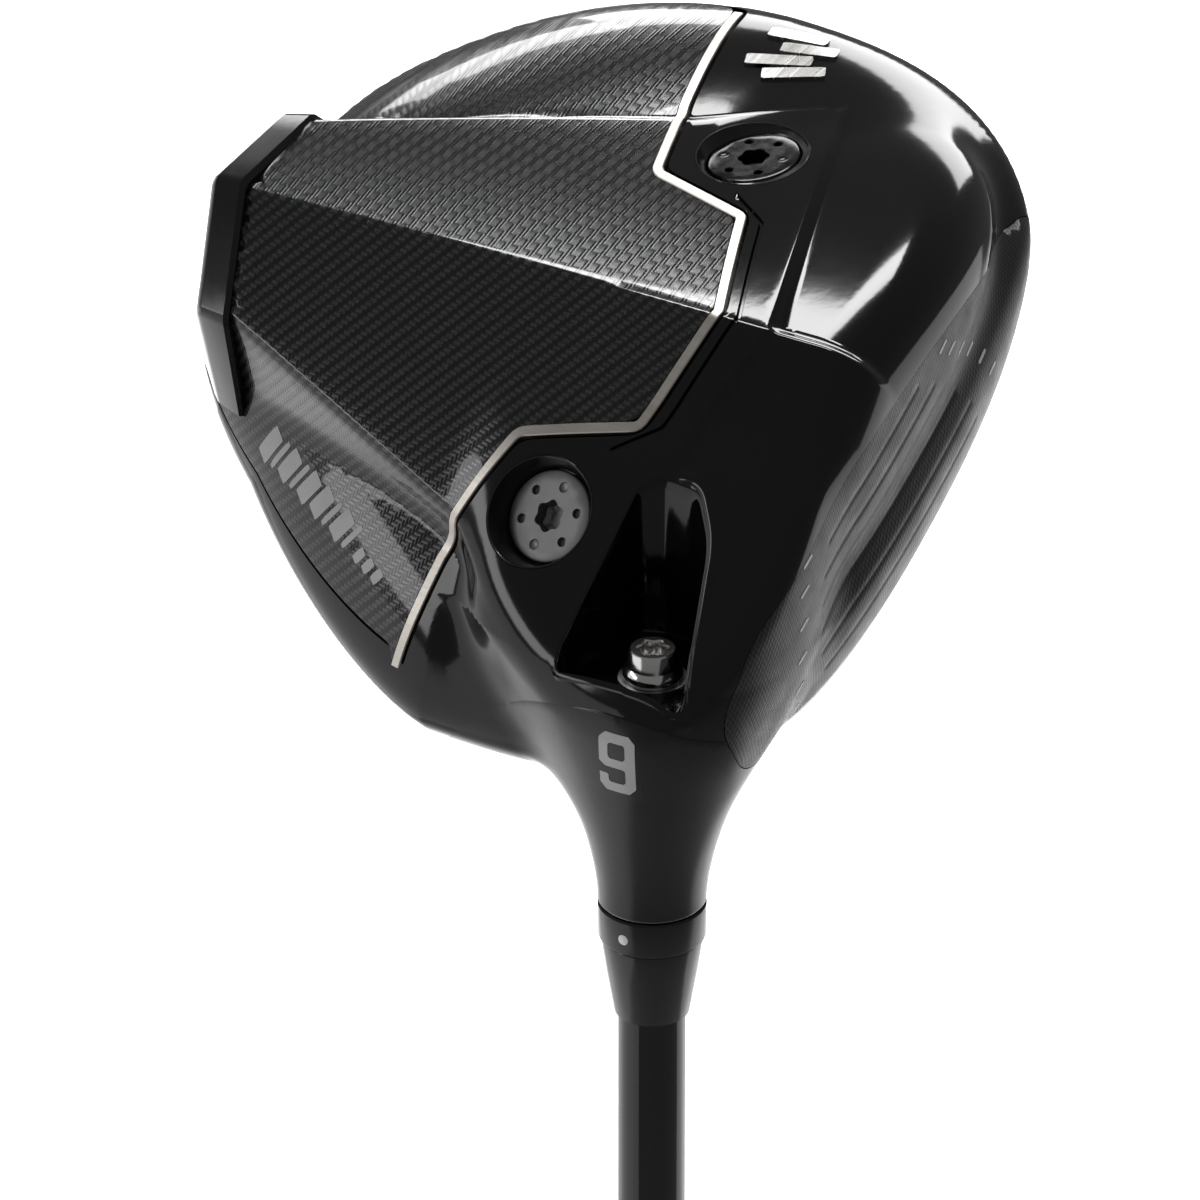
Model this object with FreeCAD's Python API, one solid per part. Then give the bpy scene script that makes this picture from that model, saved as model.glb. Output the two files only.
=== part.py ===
import FreeCAD, Part
import math
import os

# Golf driver, right handed, built head up: +Z runs from the butt of the grip to the
# head along the shaft axis, the face looks to -Y and the crown to +X. Millimetres.
# The head is drawn in its own frame (X heel, Y back, Z up, ground at z = 0) and then placed.

CLUB_LENGTH = 1150.0
LIE = math.radians(59.0)
LOFT = math.radians(9.0)
AXIS_X = 32.1      # shaft axis where it meets the ground, toward the heel
AXIS_Y = 19.5      # and behind the leading edge

# head envelope: plan half sizes, centre and heights about the equator
MID_X = -0.5
MID_Y = 52.5
HALF_TOE = 59.8
HALF_HEEL = 54.3
HALF_BACK = 61.4
HALF_FRONT = 54.0
EQUATOR = 29.1
SOLE_DROP = 22.0
CROWN_RISE = 28.1
PROFILE = 1.70
FACE_RADIUS = 300.0
SKIN = 1.3
FACE_SKIN = 2.8

# hosel and sleeve, measured up the shaft from the ground
HOSEL_TOP = 54.0
HOSEL_R = 7.1
BORE_R = 5.9
SEAT_T = 22.0
RING_H = 5.0
RING_GAP = 0.35
SLEEVE_TIP = 25.2
SLEEVE_R = 5.6
SHAFT_BORE_R = 4.55
FERRULE_H = 11.4
TIP_R = 4.475
BUTT_R = 7.6
GRIP_L = 267.0

# hosel screw, M5
SCREW_R = 2.5
SCREW_HEAD_R = 3.9
SCREW_HEAD_H = 4.2
SCREW_LEN = 17.0

# sole weights
POD_X = 29.6
POD_Y = 40.2
POD_Z = 11.3
POD_TILT = math.radians(24.0)
POD_LEAN = math.radians(5.5)
RECESS_R = 7.65
WEIGHT_R = 6.15
WEIGHT_T = 2.4
SHANK_R = 4.0
SHANK_L = 7.0


def vec(x, y, z):
    return FreeCAD.Vector(x, y, z)


def ring_points(y, grow):
    """One fore-and-aft section of the head envelope, as points around it."""
    dy = y - MID_Y
    b = (HALF_BACK if dy > 0 else HALF_FRONT) + grow
    fy = min(abs(dy) / b, 0.9999)

    def rho(x):
        toe = x < MID_X
        a = (HALF_TOE if toe else HALF_HEEL) + grow
        share = min(max(0.5 - (x - MID_X) / 60.0, 0.0), 1.0)
        p_back = 1.35 + 0.57 * share
        p = p_back if dy > 0 else 2.6
        return ((abs(x - MID_X) / a) ** p + fy ** p) ** (1.0 / p)

    def reach(sign):
        lo = 0.0
        hi = 70.0
        for _ in range(40):
            mid = 0.5 * (lo + hi)
            if rho(MID_X + sign * mid) < 1.0:
                lo = mid
            else:
                hi = mid
        return lo

    toe = reach(-1.0)
    heel = reach(1.0)
    count = 14
    points = []
    for side in (1.0, -1.0):
        for i in range(count):
            phi = math.pi * i / count
            s = math.cos(phi) * side
            x = MID_X + s * (heel if s > 0 else toe)
            r = min(rho(x), 1.0)
            ze = EQUATOR - 0.068 * (y - 48.0) + 0.019 * x
            h = (SOLE_DROP if side < 0 else CROWN_RISE) + grow
            z = ze + side * h * max(1.0 - r ** PROFILE, 0.0) ** (1.0 / PROFILE)
            points.append(vec(x, y, z))
    return points


def closed_spline(points):
    curve = Part.BSplineCurve()
    curve.interpolate(points, True)
    return Part.Wire([curve.toShape()])


def envelope(grow):
    stations = [-1.5, 3.0, 9.0, 18.0, 30.0, 44.0, 58.0, 72.0, 86.0, 98.0, 106.5, 111.5, 113.5 + grow]
    wires = [closed_spline(ring_points(y, grow)) for y in stations]
    return Part.makeLoft(wires, True, False)


def face_cut(skin):
    c = vec(0, 3.1 + skin + FACE_RADIUS * math.cos(LOFT), 30.0 - FACE_RADIUS * math.sin(LOFT))
    return Part.makeSphere(FACE_RADIUS, c)


def roof_z(x, y):
    ridge = 0.00042 * max(y - 20.0, 0.0) ** 2
    return ridge + 0.235 * abs(x) + 0.0038 * x * x


def roof(lift):
    """Everything above the two slopes of the sole keel."""
    wires = []
    for y in (-6.0, 20.0, 42.0, 64.0, 86.0, 110.0):
        left = [vec(x, y, roof_z(x, y) + lift) for x in (-58.0, -44.0, -30.0, -15.0, 0.0)]
        right = [vec(x, y, roof_z(x, y) + lift) for x in (0.0, 15.0, 30.0, 44.0, 58.0)]
        a = Part.BSplineCurve()
        a.interpolate(left)
        b = Part.BSplineCurve()
        b.interpolate(right)
        up = Part.makeLine(right[-1], vec(58, y, 60))
        over = Part.makeLine(vec(58, y, 60), vec(-58, y, 60))
        down = Part.makeLine(vec(-58, y, 60), left[0])
        wires.append(Part.Wire([a.toShape(), b.toShape(), up, over, down]))
    return Part.makeLoft(wires, True, False)


KEEL_PLAN = [(-14.5, 101.5), (-33.0, 52.0), (-43.5, 34.5), (-30.0, 7.0), (-12.0, -3.0), (14.0, -3.0),
             (34.0, 6.0), (44.0, 33.0), (34.0, 52.0), (16.8, 97.5)]


def polygon(points, z):
    pts = [vec(x, y, z) for x, y in points]
    return Part.makePolygon(pts + [pts[0]])


def spread(points, by):
    out = []
    for x, y in points:
        d = math.hypot(x, y - 60.0)
        dy = 0.0 if y > 90.0 else by * (y - 60.0) / d
        out.append((x + by * x / d, y + dy))
    return out


def keel(inset):
    low = polygon(spread(KEEL_PLAN, -inset), -4.0)
    high = polygon(spread(KEEL_PLAN, 7.5 - inset), 24.0)
    block = Part.makeLoft([low, high], True, True)
    return block.common(roof(inset))


def on_axis(t, e1=0.0, dy=0.0):
    """A point t up the shaft axis, e1 to the crown side and dy back of it."""
    s = math.sin(LIE)
    c = math.cos(LIE)
    return vec(AXIS_X + c * t - s * e1, AXIS_Y + dy, s * t + c * e1)


SHAFT_DIR = vec(math.cos(LIE), 0, math.sin(LIE))


def turned(profile):
    """Solid of revolution about the shaft axis from (radius, t) corners."""
    pts = [vec(r, 0, t) for r, t in profile]
    wire = Part.makePolygon(pts + [pts[0]])
    solid = Part.Face(wire).revolve(vec(0, 0, 0), vec(0, 0, 1), 360)
    spin = FreeCAD.Rotation(vec(0, 0, 1), SHAFT_DIR)
    solid.Placement = FreeCAD.Placement(vec(AXIS_X, AXIS_Y, 0), spin)
    return solid


# sections of the neck square to the shaft: t, reach to the sole, crown, front and back
NECK = [(54.0, 7.1, 7.1, 7.1, 7.1), (49.0, 7.2, 7.9, 7.6, 7.7), (43.0, 7.6, 10.0, 9.0, 9.6),
        (37.0, 8.3, 14.0, 11.3, 12.5), (30.0, 9.1, 20.0, 14.0, 17.5), (23.0, 9.4, 25.0, 14.0, 20.5),
        (18.0, 7.4, 26.5, 13.5, 20.0), (12.0, 0.8, 28.0, 12.0, 18.0), (6.0, -5.6, 30.0, 11.0, 16.0),
        (2.0, -9.6, 32.0, 10.0, 14.0)]


def neck():
    wires = []
    for t, sole, crown, front, back in NECK:
        mid = 0.5 * (crown - sole)
        half = 0.5 * (crown + sole)
        ring = []
        for i in range(16):
            a = 2.0 * math.pi * i / 16
            ca = math.cos(a)
            sa = math.sin(a)
            wide = back if sa > 0 else front
            ring.append(on_axis(t, mid + half * ca, wide * sa))
        wires.append(closed_spline(ring))
    return Part.makeLoft(wires, True, False)


def outer_head():
    body = envelope(0.0).fuse(keel(0.0)).common(face_cut(0.0))
    return body.fuse(neck())


def inner_head():
    body = envelope(-SKIN).fuse(keel(SKIN)).common(face_cut(FACE_SKIN))
    return body


# plan lines of the joins in the head skin, (heelward, back)
TRIM_LINE = [(-64.0, 57.0), (-46.0, 54.5), (-33.0, 52.0), (-20.5, 47.5), (-18.5, 35.0), (0.0, 27.5),
             (18.0, 35.0), (20.5, 48.0), (34.5, 52.0), (38.5, 53.5), (50.0, 57.0), (64.0, 60.0)]
SOLE_RIM = 3.5


def prism(points, z0, z1):
    return Part.Face(polygon(points, z0)).extrude(vec(0, 0, z1 - z0))


def rim_plan(inset):
    """Plan outline of the head drawn in by inset, back half only, heel to toe."""
    out = []
    for i in range(0, 25):
        a = math.pi * i / 24.0
        cx = math.cos(a)
        sy = math.sin(a)
        heel = cx > 0
        p = 1.55 if heel else 2.02
        k = (abs(cx) ** p + sy ** p) ** (-1.0 / p)
        half = (HALF_HEEL if heel else HALF_TOE) - inset
        out.append((MID_X + half * cx * k, MID_Y + (HALF_BACK - inset) * sy * k))
    return out


def sole_region():
    back = [p for p in rim_plan(SOLE_RIM) if p[1] > 62.0]
    side = [(-52.0, 56.0), (-33.0, 52.0), (-20.5, 47.5), (-18.5, 35.0), (0.0, 27.5),
            (18.0, 35.0), (20.5, 48.0), (34.5, 52.0), (47.0, 56.5)]
    return prism(side + back, -6.0, 24.0)


def crown_region():
    back = [p for p in rim_plan(4.5) if p[1] > 50.0]
    front = [(-52.5, 42.0), (-47.0, 26.0), (-30.0, 19.5), (-6.0, 16.5), (14.0, 18.5), (27.0, 30.0),
             (40.0, 41.0)]
    return prism(front + back, 33.0, 75.0)


def face_region():
    wire = []
    for i in range(28):
        a = 2 * math.pi * i / 28
        wire.append(vec(36.5 * math.cos(a) - 1.0, -12.0, 20.5 * math.sin(a) + 29.0 - 0.12 * 36.5 * math.cos(a)))
    face = Part.Face(closed_spline(wire))
    return face.extrude(vec(0, 24, 0))


def slab(points, y_from, y_to):
    return prism([(-80, y_from), (80, y_from), (80, y_to), (-80, y_to)], -8, 80)


def trim_region():
    width = 1.5
    a = [(x, y) for x, y in TRIM_LINE]
    b = [(x, y - width) for x, y in reversed(TRIM_LINE)]
    return prism(a + b, -6.0, 25.5)


WELL_PLAN = [(-14.0, -8.0), (-14.0, 11.5), (-4.0, 11.5), (10.5, 8.6), (12.2, 4.0), (12.0, -1.0), (7.0, -4.6),
             (0.0, -6.2), (-7.0, -7.6)]


def well_block(grow, t_end):
    pts = [on_axis(-25.0, e1 * (1.0 + grow / 12.0), dy * (1.0 + grow / 9.0)) for e1, dy in WELL_PLAN]
    face = Part.Face(Part.makePolygon(pts + [pts[0]]))
    return face.extrude(SHAFT_DIR * (25.0 + t_end))


def well_cut():
    """Pocket in the sole that leads a wrench to the hosel screw."""
    return well_block(0.0, SEAT_T - 0.01)


def well_wall():
    return well_block(1.4, SEAT_T + 1.3)


def pod_frame(side):
    """Placement of a weight: origin on the sole, local +Z out of the sole."""
    out = vec(side * math.sin(POD_TILT), math.sin(POD_LEAN), -math.cos(POD_TILT))
    out.normalize()
    return FreeCAD.Placement(vec(side * POD_X, POD_Y, POD_Z - 1.4), FreeCAD.Rotation(vec(0, 0, 1), out))


def lathe(profile, place):
    pts = [vec(r, 0, z) for r, z in profile]
    solid = Part.Face(Part.makePolygon(pts + [pts[0]])).revolve(vec(0, 0, 0), vec(0, 0, 1), 360)
    solid.Placement = place
    return solid


def pod_cup(side):
    profile = [(RECESS_R + 1.3, 0.0), (RECESS_R, 0.0), (RECESS_R, -0.9), (RECESS_R - 0.9, -3.9),
               (SHANK_R + 0.08, -3.9), (SHANK_R + 0.08, -12.6), (SHANK_R + 1.5, -12.6),
               (SHANK_R + 1.5, -5.2), (RECESS_R + 1.3, -5.2)]
    return lathe(profile, pod_frame(side))


def lobes(radius, depth, top, place):
    """Six lobed drive recess."""
    cut = Part.makeCylinder(radius * 0.74, depth, vec(0, 0, top - depth))
    for i in range(6):
        a = math.pi * i / 3.0
        c = vec(radius * 0.70 * math.cos(a), radius * 0.70 * math.sin(a), top - depth)
        cut = cut.fuse(Part.makeCylinder(radius * 0.30, depth, c))
    cut.Placement = place
    return cut


def sole_weight(side):
    place = pod_frame(side)
    top = -1.0
    low = top - WEIGHT_T
    profile = [(0.0, top), (WEIGHT_R - 0.5, top), (WEIGHT_R, top - 0.5), (WEIGHT_R, low), (SHANK_R, low),
               (SHANK_R, low - SHANK_L + 0.6), (SHANK_R - 0.6, low - SHANK_L), (0.0, low - SHANK_L)]
    weight = lathe(profile, place)
    weight = weight.cut(lobes(2.15, 2.0, top + 0.01, place))
    for i in range(6):
        a = math.pi * i / 3.0 + 0.35
        hole = Part.makeCylinder(0.62, 0.6, vec(4.3 * math.cos(a), 4.3 * math.sin(a), top - 0.6))
        hole.Placement = place
        weight = weight.cut(hole)
    return weight


def weight_washer(side):
    low = -1.0 - WEIGHT_T
    profile = [(SHANK_R + 0.12, low - 0.02), (WEIGHT_R, low - 0.02), (WEIGHT_R, -3.88), (SHANK_R + 0.12, -3.88)]
    return lathe(profile, pod_frame(side))


def hosel_tube():
    seat = SEAT_T
    profile = [(BORE_R, HOSEL_TOP), (BORE_R, seat + 2.4), (SCREW_R + 0.35, seat + 2.4),
               (SCREW_R + 0.35, seat), (BORE_R + 1.0, seat), (BORE_R + 1.0, HOSEL_TOP)]
    return turned(profile)


def hosel_screw():
    top = SEAT_T - 0.62
    head_end = top - SCREW_HEAD_H
    profile = [(0.0, top + SCREW_LEN), (SCREW_R - 0.5, top + SCREW_LEN), (SCREW_R, top + SCREW_LEN - 0.5),
               (SCREW_R, top), (SCREW_HEAD_R, top), (SCREW_HEAD_R, top - 1.1), (SCREW_HEAD_R - 0.5, top - 1.5),
               (SCREW_HEAD_R - 0.9, head_end + 0.4), (SCREW_HEAD_R - 1.3, head_end), (0.0, head_end)]
    screw = turned(profile)
    spin = FreeCAD.Rotation(vec(0, 0, 1), SHAFT_DIR)
    place = FreeCAD.Placement(on_axis(head_end + 2.6), spin)
    return screw.cut(lobes(2.15, 2.7, 0.0, place))


def hosel_screw_washer():
    return turned([(SCREW_R + 0.15, SEAT_T - 0.6), (SCREW_HEAD_R + 0.6, SEAT_T - 0.6),
                   (SCREW_HEAD_R + 0.6, SEAT_T - 0.02), (SCREW_R + 0.15, SEAT_T - 0.02)])


def adapter_sleeve():
    gap = HOSEL_TOP + RING_GAP
    tip = SLEEVE_TIP
    profile = [(SCREW_R + 0.06, tip), (SLEEVE_R - 0.6, tip), (SLEEVE_R, tip + 0.6), (SLEEVE_R, gap), (HOSEL_R, gap),
               (HOSEL_R, gap + RING_H - 0.3), (HOSEL_R - 0.3, gap + RING_H), (SHAFT_BORE_R, gap + RING_H),
               (SHAFT_BORE_R, tip + 14.5), (SCREW_R + 0.06, tip + 14.5)]
    return turned(profile)


def ferrule():
    base = HOSEL_TOP + RING_GAP + RING_H
    return turned([(TIP_R + 0.05, base), (6.65, base), (6.55, base + 1.0), (4.95, base + FERRULE_H),
                   (TIP_R + 0.05, base + FERRULE_H)])


def shaft():
    tip = SLEEVE_TIP + 14.6
    butt = CLUB_LENGTH - 1.0
    straight = 200.0
    return turned([(TIP_R, tip), (TIP_R, straight), (BUTT_R, butt - 260), (BUTT_R, butt), (BUTT_R - 1.4, butt),
                   (BUTT_R - 1.4, butt - 260), (TIP_R - 1.6, straight), (TIP_R - 1.6, tip)])


def grip_tape():
    top = CLUB_LENGTH - GRIP_L
    return turned([(BUTT_R + 0.02, top + 6), (BUTT_R + 0.22, top + 6), (BUTT_R + 0.22, CLUB_LENGTH - 1.0),
                   (BUTT_R + 0.02, CLUB_LENGTH - 1.0)])


def grip():
    top = CLUB_LENGTH - GRIP_L
    low = CLUB_LENGTH - 3.0
    r_in = BUTT_R + 0.24
    return turned([(r_in, top), (9.4, top), (9.8, top + 0.8), (11.6, CLUB_LENGTH - 120), (12.9, low - 12),
                   (13.3, low - 2), (13.3, low), (r_in, low)])


def grip_end_cap():
    low = CLUB_LENGTH - 3.0
    r_in = BUTT_R + 0.24
    return turned([(r_in, low), (13.3, low), (13.2, CLUB_LENGTH - 1.2), (12.4, CLUB_LENGTH - 0.4),
                   (9.0, CLUB_LENGTH), (0.0, CLUB_LENGTH), (0.0, CLUB_LENGTH - 0.98), (r_in, CLUB_LENGTH - 0.98)])


def rear_cap():
    low = [(-14.6, 99.8), (-13.6, 104.4), (0.0, 105.3), (16.4, 100.6), (17.2, 95.2), (0.0, 100.5)]
    high = [(-20.0, 98.0), (-18.6, 102.6), (0.0, 105.8), (21.2, 98.6), (22.4, 94.8), (0.0, 100.8)]
    block = Part.makeLoft([polygon(low, -4.0), polygon(high, 21.0)], True, True)
    return block.common(roof(-0.6))


def screw_retainer():
    return turned([(SCREW_R + 0.12, SEAT_T + 2.42), (BORE_R - 0.05, SEAT_T + 2.42),
                   (BORE_R - 0.05, SEAT_T + 3.0), (SCREW_R + 0.12, SEAT_T + 3.0)])


def badge(outer):
    """Three raised slanted bars on the toe side of the sole."""
    bars = None
    for i in range(3):
        y = 32.5 + 5.6 * i
        bar = prism([(-40.5, y), (-40.5, y + 3.4), (-48.0, y + 0.6), (-48.0, y - 2.8)], 4.0, 24.0)
        bars = bar if bars is None else bars.fuse(bar)
    return envelope(0.5).common(bars).cut(outer)


def place_in_row(shape):
    """Head frame to row frame."""
    s = math.sin(LIE)
    c = math.cos(LIE)
    m = FreeCAD.Matrix(-s, 0, c, s * AXIS_X, 0, 1, 0, -AXIS_Y, -c, 0, -s, CLUB_LENGTH + c * AXIS_X, 0, 0, 0, 1)
    place = FreeCAD.Placement(m)
    moved = shape.copy()
    moved.Placement = place.multiply(moved.Placement)
    return moved


def biggest(shape):
    solids = sorted(shape.Solids, key=lambda s: -s.Volume)
    keep = [s for s in solids if s.Volume > 0.02 * solids[0].Volume]
    return keep[0] if len(keep) == 1 else Part.makeCompound(keep)


def build():
    outer = outer_head()
    inner = inner_head()
    tools = []
    tube = turned([(0.0, SEAT_T - 0.01), (BORE_R + 1.0, SEAT_T - 0.01), (BORE_R + 1.0, 70.0), (0.0, 70.0)])
    tube_wall = turned([(0.0, SEAT_T - 1.4), (BORE_R + 2.4, SEAT_T - 1.4), (BORE_R + 2.4, 50.0), (0.0, 50.0)])
    shell = outer.cut(inner)
    shell = shell.fuse(tube_wall.common(outer))
    shell = shell.fuse(well_wall().common(outer))
    shell = shell.cut(well_cut()).cut(tube)
    low_tube = turned([(0.0, 5.0), (SCREW_HEAD_R + 0.9, 5.0), (SCREW_HEAD_R + 0.9, 40.0), (0.0, 40.0)])
    shell = shell.cut(low_tube)
    nodes = {}
    for side, name in ((1.0, "heel"), (-1.0, "toe")):
        hole = lathe([(0, 4.0), (RECESS_R + 1.3, 4.0), (RECESS_R + 1.3, -5.2), (SHANK_R + 1.5, -5.2),
                      (SHANK_R + 1.5, -12.6), (0, -12.6)], pod_frame(side))
        shell = shell.cut(hole)
        nodes["weight_port_" + name] = pod_cup(side).common(outer)
        nodes[name + "_weight"] = sole_weight(side)
        nodes[name + "_weight_washer"] = weight_washer(side)
    face = shell.common(face_region())
    face = biggest(face)
    shell = shell.cut(face_region())
    crown = biggest(shell.common(crown_region()))
    shell = shell.cut(crown_region())
    trim = shell.common(trim_region())
    sole = biggest(shell.common(sole_region()).cut(trim_region()).cut(rear_cap()))
    body = shell.cut(sole_region()).cut(trim_region()).cut(rear_cap())
    nodes["face_plate"] = face
    nodes["crown_panel"] = crown
    nodes["sole_panel"] = sole
    nodes["trim_strip"] = biggest(trim)
    nodes["head_body"] = biggest(body)
    nodes["rear_cap"] = biggest(rear_cap().cut(inner))
    nodes["badge"] = badge(outer)
    nodes["screw_retainer"] = screw_retainer()
    nodes["hosel_tube"] = hosel_tube()
    nodes["hosel_screw"] = hosel_screw()
    nodes["hosel_screw_washer"] = hosel_screw_washer()
    nodes["adapter_sleeve"] = adapter_sleeve()
    nodes["ferrule"] = ferrule()
    nodes["shaft"] = shaft()
    nodes["grip_tape"] = grip_tape()
    nodes["grip"] = grip()
    nodes["grip_end_cap"] = grip_end_cap()
    return nodes


def main():
    os.makedirs("parts", exist_ok=True)
    for name, shape in build().items():
        moved = place_in_row(shape)
        moved.exportStep("parts/" + name + ".step")
        print(name, round(shape.Volume), shape.isValid(), len(shape.Solids), len(shape.Faces))


main()
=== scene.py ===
"""Golf driver: the looks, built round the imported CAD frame.

The frame is in metres, with z along the shaft from the butt of the grip to the head. The head is worked
out in a frame of its own first: millimetres, x toward the toe, y toward the back, z up from the ground.
"""
import math
import bmesh
import bpy
import numpy as np
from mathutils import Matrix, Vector
from mathutils.geometry import delaunay_2d_cdt


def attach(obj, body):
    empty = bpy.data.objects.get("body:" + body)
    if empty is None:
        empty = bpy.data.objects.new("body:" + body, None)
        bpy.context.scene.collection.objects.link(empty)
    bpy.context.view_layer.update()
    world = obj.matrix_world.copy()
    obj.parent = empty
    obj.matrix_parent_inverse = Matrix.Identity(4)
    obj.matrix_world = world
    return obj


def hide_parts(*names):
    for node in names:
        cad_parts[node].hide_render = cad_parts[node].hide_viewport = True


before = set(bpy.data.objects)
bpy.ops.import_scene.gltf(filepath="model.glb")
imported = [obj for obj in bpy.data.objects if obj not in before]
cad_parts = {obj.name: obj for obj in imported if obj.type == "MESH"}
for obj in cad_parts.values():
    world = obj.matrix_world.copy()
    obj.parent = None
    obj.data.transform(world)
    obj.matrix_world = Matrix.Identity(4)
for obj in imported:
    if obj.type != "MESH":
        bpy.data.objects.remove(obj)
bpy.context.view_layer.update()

MM = 0.001

# ---- shape of the head ----

LIE = math.radians(59.0)
SL = math.sin(LIE)
CL = math.cos(LIE)
LENGTH = 1150.0  # along the shaft axis, from the ground to the butt
AX = -32.1  # where the shaft axis meets the ground
AY = 19.5
STAR = np.array([-18.0, 33.0, 23.0])  # a point inside the head that sees the whole skin

# plan of the round shell: its middle, how far it reaches, and how square it is from heel to toe
MID_X = 0.5
MID_Y = 52.5
TO_TOE = 59.5
TO_HEEL = 54.3
TO_BACK = 61.0
TO_FRONT = 51.1
SQUARE_BACK = (1.35, 1.92)
SQUARE_FRONT = (2.83, 2.55)
TURNOVER = 60.0  # width over which the heel's squareness becomes the toe's

# section of the shell: height and slope of its widest line, depth below and height above it
WIDEST_Z = 29.1
WIDEST_SLOPE_X = 0.019
WIDEST_SLOPE_Y = 0.068
SOLE_DEPTH = 20.3
CROWN_HEIGHT = 28.1
SECTION_POWER = 1.70

FACE_BULGE = 600.0
LOFT_SLOPE = 0.158

CORNER_Y = 52.0  # where the raised plateau of the sole is widest
PLATEAU_HALF = 33.2
PLATEAU_BACK_Y = 101.0

HOSEL_R = 7.1
HOSEL_TOP = 54.0


def smin(a, b, k):
    """The lesser of a and b, rounded over k."""
    h = np.clip(0.5 + 0.5 * (b - a) / k, 0, 1)
    return b * (1 - h) + a * h - k * h * (1 - h)


def smax(a, b, k):
    return -smin(-a, -b, k)


def ramp(x, a, b):
    """0 below a, 1 above b, smooth between them."""
    t = np.clip((x - a) / (b - a), 0, 1)
    return t * t * (3 - 2 * t)


def plan_rho(x, y):
    """1 on the plan outline of the shell, less inside it."""
    dx = x - MID_X
    dy = y - MID_Y
    a = np.where(dx > 0, TO_TOE, TO_HEEL)
    b = np.where(dy > 0, TO_BACK, TO_FRONT)
    w = np.clip(0.5 + dx / TURNOVER, 0, 1)
    back = SQUARE_BACK[0] * (1 - w) + SQUARE_BACK[1] * w
    front = SQUARE_FRONT[0] * (1 - w) + SQUARE_FRONT[1] * w
    p = np.where(dy > 0, back, front)
    return ((np.abs(dx) / a) ** p + (np.abs(dy) / b) ** p) ** (1 / p)


def shell(x, y, z):
    """The round body of the head."""
    rho = plan_rho(x, y)
    dz = z - (WIDEST_Z - WIDEST_SLOPE_Y * (y - 48) - WIDEST_SLOPE_X * x)
    h = np.where(dz < 0, SOLE_DEPTH, CROWN_HEIGHT)
    n = SECTION_POWER
    return ((rho ** n + np.abs(dz / h) ** n) ** (1 / n) - 1) * 30


def face_y(x, z):
    """How far back the face lies, with its loft and bulge."""
    return 3.1 + (z - 30) * LOFT_SLOPE + (x * x + (z - 30) ** 2) / FACE_BULGE


def roof(x, y):
    """Height of the two slopes of the sole keel."""
    ax = np.sqrt(x * x + 0.12) - 0.346
    rise = 0.00042 * np.clip(y - 20, 0, None) ** 2
    return rise + 0.235 * ax + 0.0036 * ax * ax


def edge_w(y):
    """Half width of the raised plateau on the sole."""
    behind = PLATEAU_HALF - (y - CORNER_Y) * 0.382
    before = PLATEAU_HALF + (CORNER_Y - y) * 0.60
    return np.where(y > CORNER_Y, behind, before)


def front_line(x):
    """Front edge of the plateau: how far back it lies at x."""
    return 19.2 + 0.315 * np.abs(x) + 0.0012 * x * x


def keel(x, y, z):
    """The plateau: a roof with sloped sides, a front wall and a cut-off back."""
    low = roof(x, y)
    top = (low - z) * 0.95
    lean = np.clip(z - low, 0, 30) * 0.42
    side = (np.abs(x) - edge_w(y) - lean) * 0.88
    front = (front_line(x) - y - 0.8 * np.clip(z - low, 0, 4)) * 0.8
    back = (y - PLATEAU_BACK_Y + 0.22 * np.clip(-x, 0, 40)) * 0.98
    body = smax(top, side, 0.9)
    body = smax(body, front, 0.45)
    body = smax(body, back, 1.2)
    return smax(body, z - 34, 6.0)


def front_sole(x, y, z):
    """Metal between the plateau and the face, a step lower on the toe side."""
    toe = 1.5 * np.clip(1 - x / 50, 0, 1) * ramp(x, -0.4, 1.6)
    step = 0.10 + toe + 0.4 * ramp(-x, 0.0, 7.0)
    low = roof(x, y) + step
    round_off = (plan_rho(x, y) - 0.955) * 50
    block = smax((low - z) * 0.94, round_off, 9.0)
    block = smax(block, (y - 46) * 0.7, 6.0)
    return smax(block, z - 27, 8.0)


def on_axis(x, y, z):
    """Position about the shaft axis: toward the crown, toward the back, and up the shaft."""
    dx = x - AX
    return SL * dx + CL * z, y - AY, -CL * dx + SL * z


def axis_point(e1, dy, t):
    return np.stack([AX + SL * e1 - CL * t, AY + dy + 0 * t, CL * e1 + SL * t], -1)


def neck(x, y, z):
    """The hosel, flared on each of its four sides where it runs into the head."""
    e1, dy, t = on_axis(x, y, z)
    down = np.clip(HOSEL_TOP - t, 0, 34)
    sole = HOSEL_R + 2.35 * (1 - np.exp(-(down / 17) ** 2))
    crown = HOSEL_R + 0.0365 * down ** 1.8
    back = HOSEL_R + 0.043 * down ** 1.78
    front = HOSEL_R + 0.030 * down ** 1.68
    front = smin(front, 15.0 + 0 * front, 3.0)
    mid = 0.5 * (crown - sole)
    half = 0.5 * (crown + sole)
    wide = np.where(dy > 0, back, front)
    q = np.sqrt(((e1 - mid) / half) ** 2 + (dy / wide) ** 2 + 1e-9)
    d = (q - 1) * np.minimum(half, wide)
    d = smax(d, (12.9 - t - e1) * 0.7, 4.0)
    return smax(d, (-2.0 - t) * 0.8, 3.0)


def head(p):
    """Below zero inside the head, zero on its surface."""
    x = p[..., 0]
    y = p[..., 1]
    z = p[..., 2]
    f = smin(shell(x, y, z), front_sole(x, y, z), 3.0)
    f = smin(f, keel(x, y, z), 1.5 - 0.8 * ramp(x, -2, 2))
    f = smax(f, face_y(x, z) - y, 5.0)
    stem_cut = face_y(np.maximum(x, -44), np.minimum(z, 34)) - y
    stem = smax(neck(x, y, z), stem_cut, 2.0)
    return smin(f, stem, 5.0)


# ---- meshing ----

def to_row(p):
    """Head frame, millimetres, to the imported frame, metres."""
    dx = p[:, 0] - AX
    return np.stack([SL * dx + CL * p[:, 2], p[:, 1] - AY, LENGTH + CL * dx - SL * p[:, 2]], -1) * MM


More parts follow.
